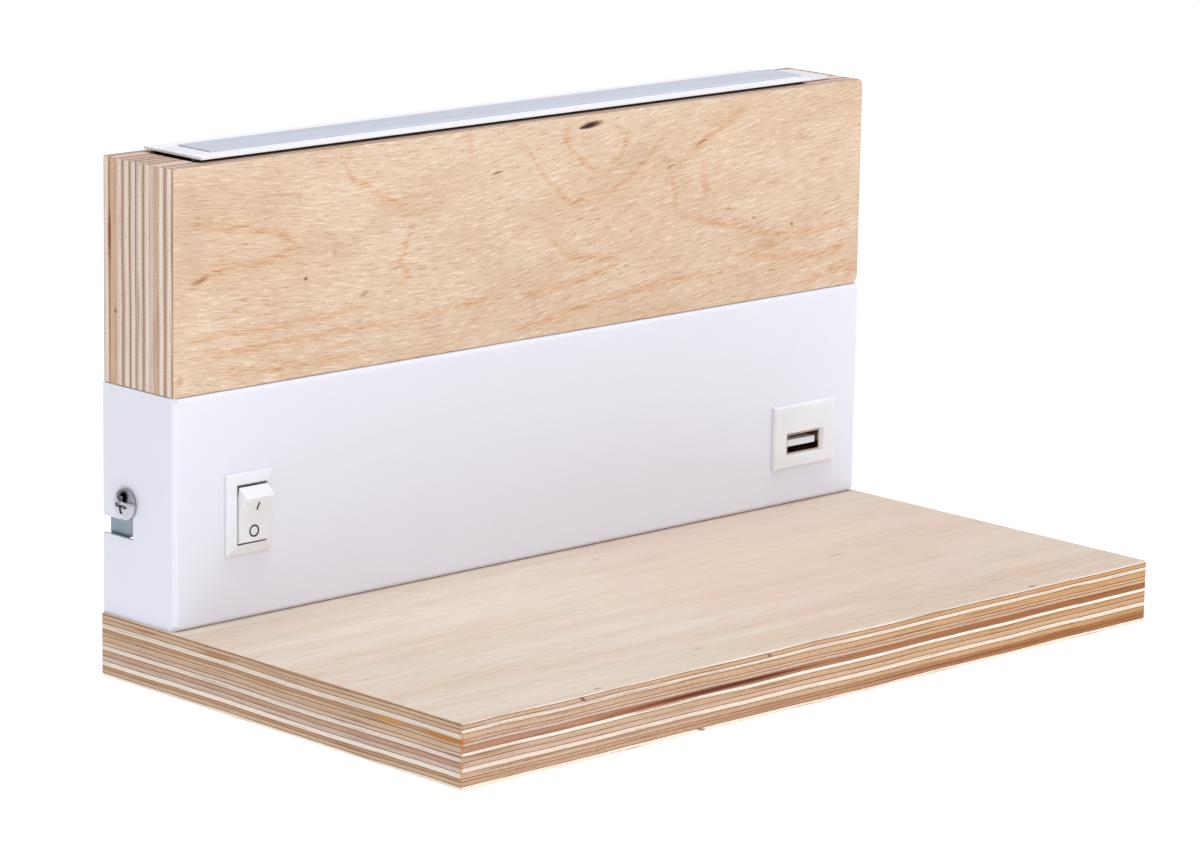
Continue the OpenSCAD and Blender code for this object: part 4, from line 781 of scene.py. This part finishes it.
plainNodes = {
    "zincScrewSteel": ["block_screws", "shelf_screws", "driver_screws", "terminal_screws",
                       "terminal_fixing_screw", "earth_stud", "earth_nut"],
    "stampedBrass": ["switch_terminals", "usb_contacts", "terminal_clamps", "earth_tag"],
    "padPrintInk": ["rocker_marks"],
    "epoxyBoard": ["usb_board"],
    "blackEpoxy": ["usb_board_parts"],
    "whiteSolderMask": ["led_strip"],
    "phosphorResin": ["led_chips"],
    "mouldedPolycarbonate": ["led_driver"],
    "naturalNylon": ["terminal_block"],
    "mouldedRubber": ["lead_grommet"],
    "brownPvc": ["mains_leads"],
    "greenYellowPvc": ["earth_lead"],
    "redPvc": ["usb_leads", "switch_lead", "strip_leads"],
}
for finish, names in plainNodes.items():
    for nodeName in names:
        dress(nodeName, materials[finish])
print("inner pieces dressed")

studio = {
    "floorDrop": 0.30,  # m below the shelf
    "floorSize": 40.0,  # m
    "floorColour": "#FAFAFA",
    "floorRough": 0.9,
    "floorGlow": 0.55,  # keeps the far floor as white as a lit backdrop
    "sky": "#F8F8FF",
    "skyStrength": 0.5,
    "flagWay": (-0.78, 0.6, 0.17),  # where a dark flag hangs behind the left end, for the chrome
    "flagCore": 0.93,  # cosine of the angle to its middle, inside which it is dark
    "flagRim": 0.82,  # and outside which it has ended
    "flagColour": "#141416",
}
lampAim = (0, -0.05, 0.02)  # m, about the middle of the object
lamps = [  # name, place and size in m, watts, colour
    ("keyLight", (-0.4, -1.95, 1.35), 1.4, 13.3, "#F6F9FF"),
    ("sideLight", (-2.1, -0.4, 0.9), 1.2, 1.2, "#F2F6FF"),
    ("topLight", (0.1, -0.3, 2.1), 1.5, 25.5, "#FDFCFF"),
]


def makeStudio(spec):
    bm = bmesh.new()
    bmesh.ops.create_grid(bm, x_segments=1, y_segments=1, size=spec["floorSize"] / 2)
    bmesh.ops.translate(bm, vec=(0, 0, shelfLow.z - spec["floorDrop"]), verts=bm.verts)
    mesh = bpy.data.meshes.new("floor")
    bm.to_mesh(mesh)
    bm.free()
    floor = bpy.data.objects.new("floor", mesh)
    bpy.context.scene.collection.objects.link(floor)
    material, tree, shader = startMaterial("floorPaint")
    shader.inputs["Base Color"].default_value = toLinear(spec["floorColour"])
    shader.inputs["Roughness"].default_value = spec["floorRough"]
    shader.inputs["Emission Color"].default_value = (1, 1, 1, 1)
    shader.inputs["Emission Strength"].default_value = spec["floorGlow"]
    mesh.materials.append(material)
    world = bpy.data.worlds.new("studioSky")
    world.use_nodes = True
    tree = world.node_tree
    sky = tree.nodes["Background"]
    way = addNode(tree, "TexCoord").outputs["Generated"]
    toFlag = addNode(tree, "VectorMath", {"operation": "DOT_PRODUCT", 1: spec["flagWay"]}, {0: way})
    flag = addNode(tree, "MapRange", {"From Min": spec["flagRim"], "From Max": spec["flagCore"]},
                   {"Value": toFlag.outputs["Value"]})
    colour = addNode(tree, "MixRGB", {"Color1": toLinear(spec["sky"]),
                                      "Color2": toLinear(spec["flagColour"])}, {"Fac": flag.outputs[0]})
    tree.links.new(colour.outputs[0], sky.inputs["Color"])
    sky.inputs["Strength"].default_value = spec["skyStrength"]
    bpy.context.scene.world = world


def makeLights(rows):
    aim = Vector(lampAim)
    for name, place, size, watts, colour in rows:
        data = bpy.data.lights.new(name, "AREA")
        data.shape = "SQUARE"
        data.size = size
        data.energy = watts
        data.color = toLinear(colour)[:3]
        light = bpy.data.objects.new(name, data)
        bpy.context.scene.collection.objects.link(light)
        light.location = place
        light.rotation_euler = (aim - Vector(place)).to_track_quat("-Z", "Y").to_euler()


makeStudio(studio)
makeLights(lamps)
bpy.context.scene.view_settings.view_transform = "Standard"
bpy.context.scene.view_settings.look = "None"
print("studio set")
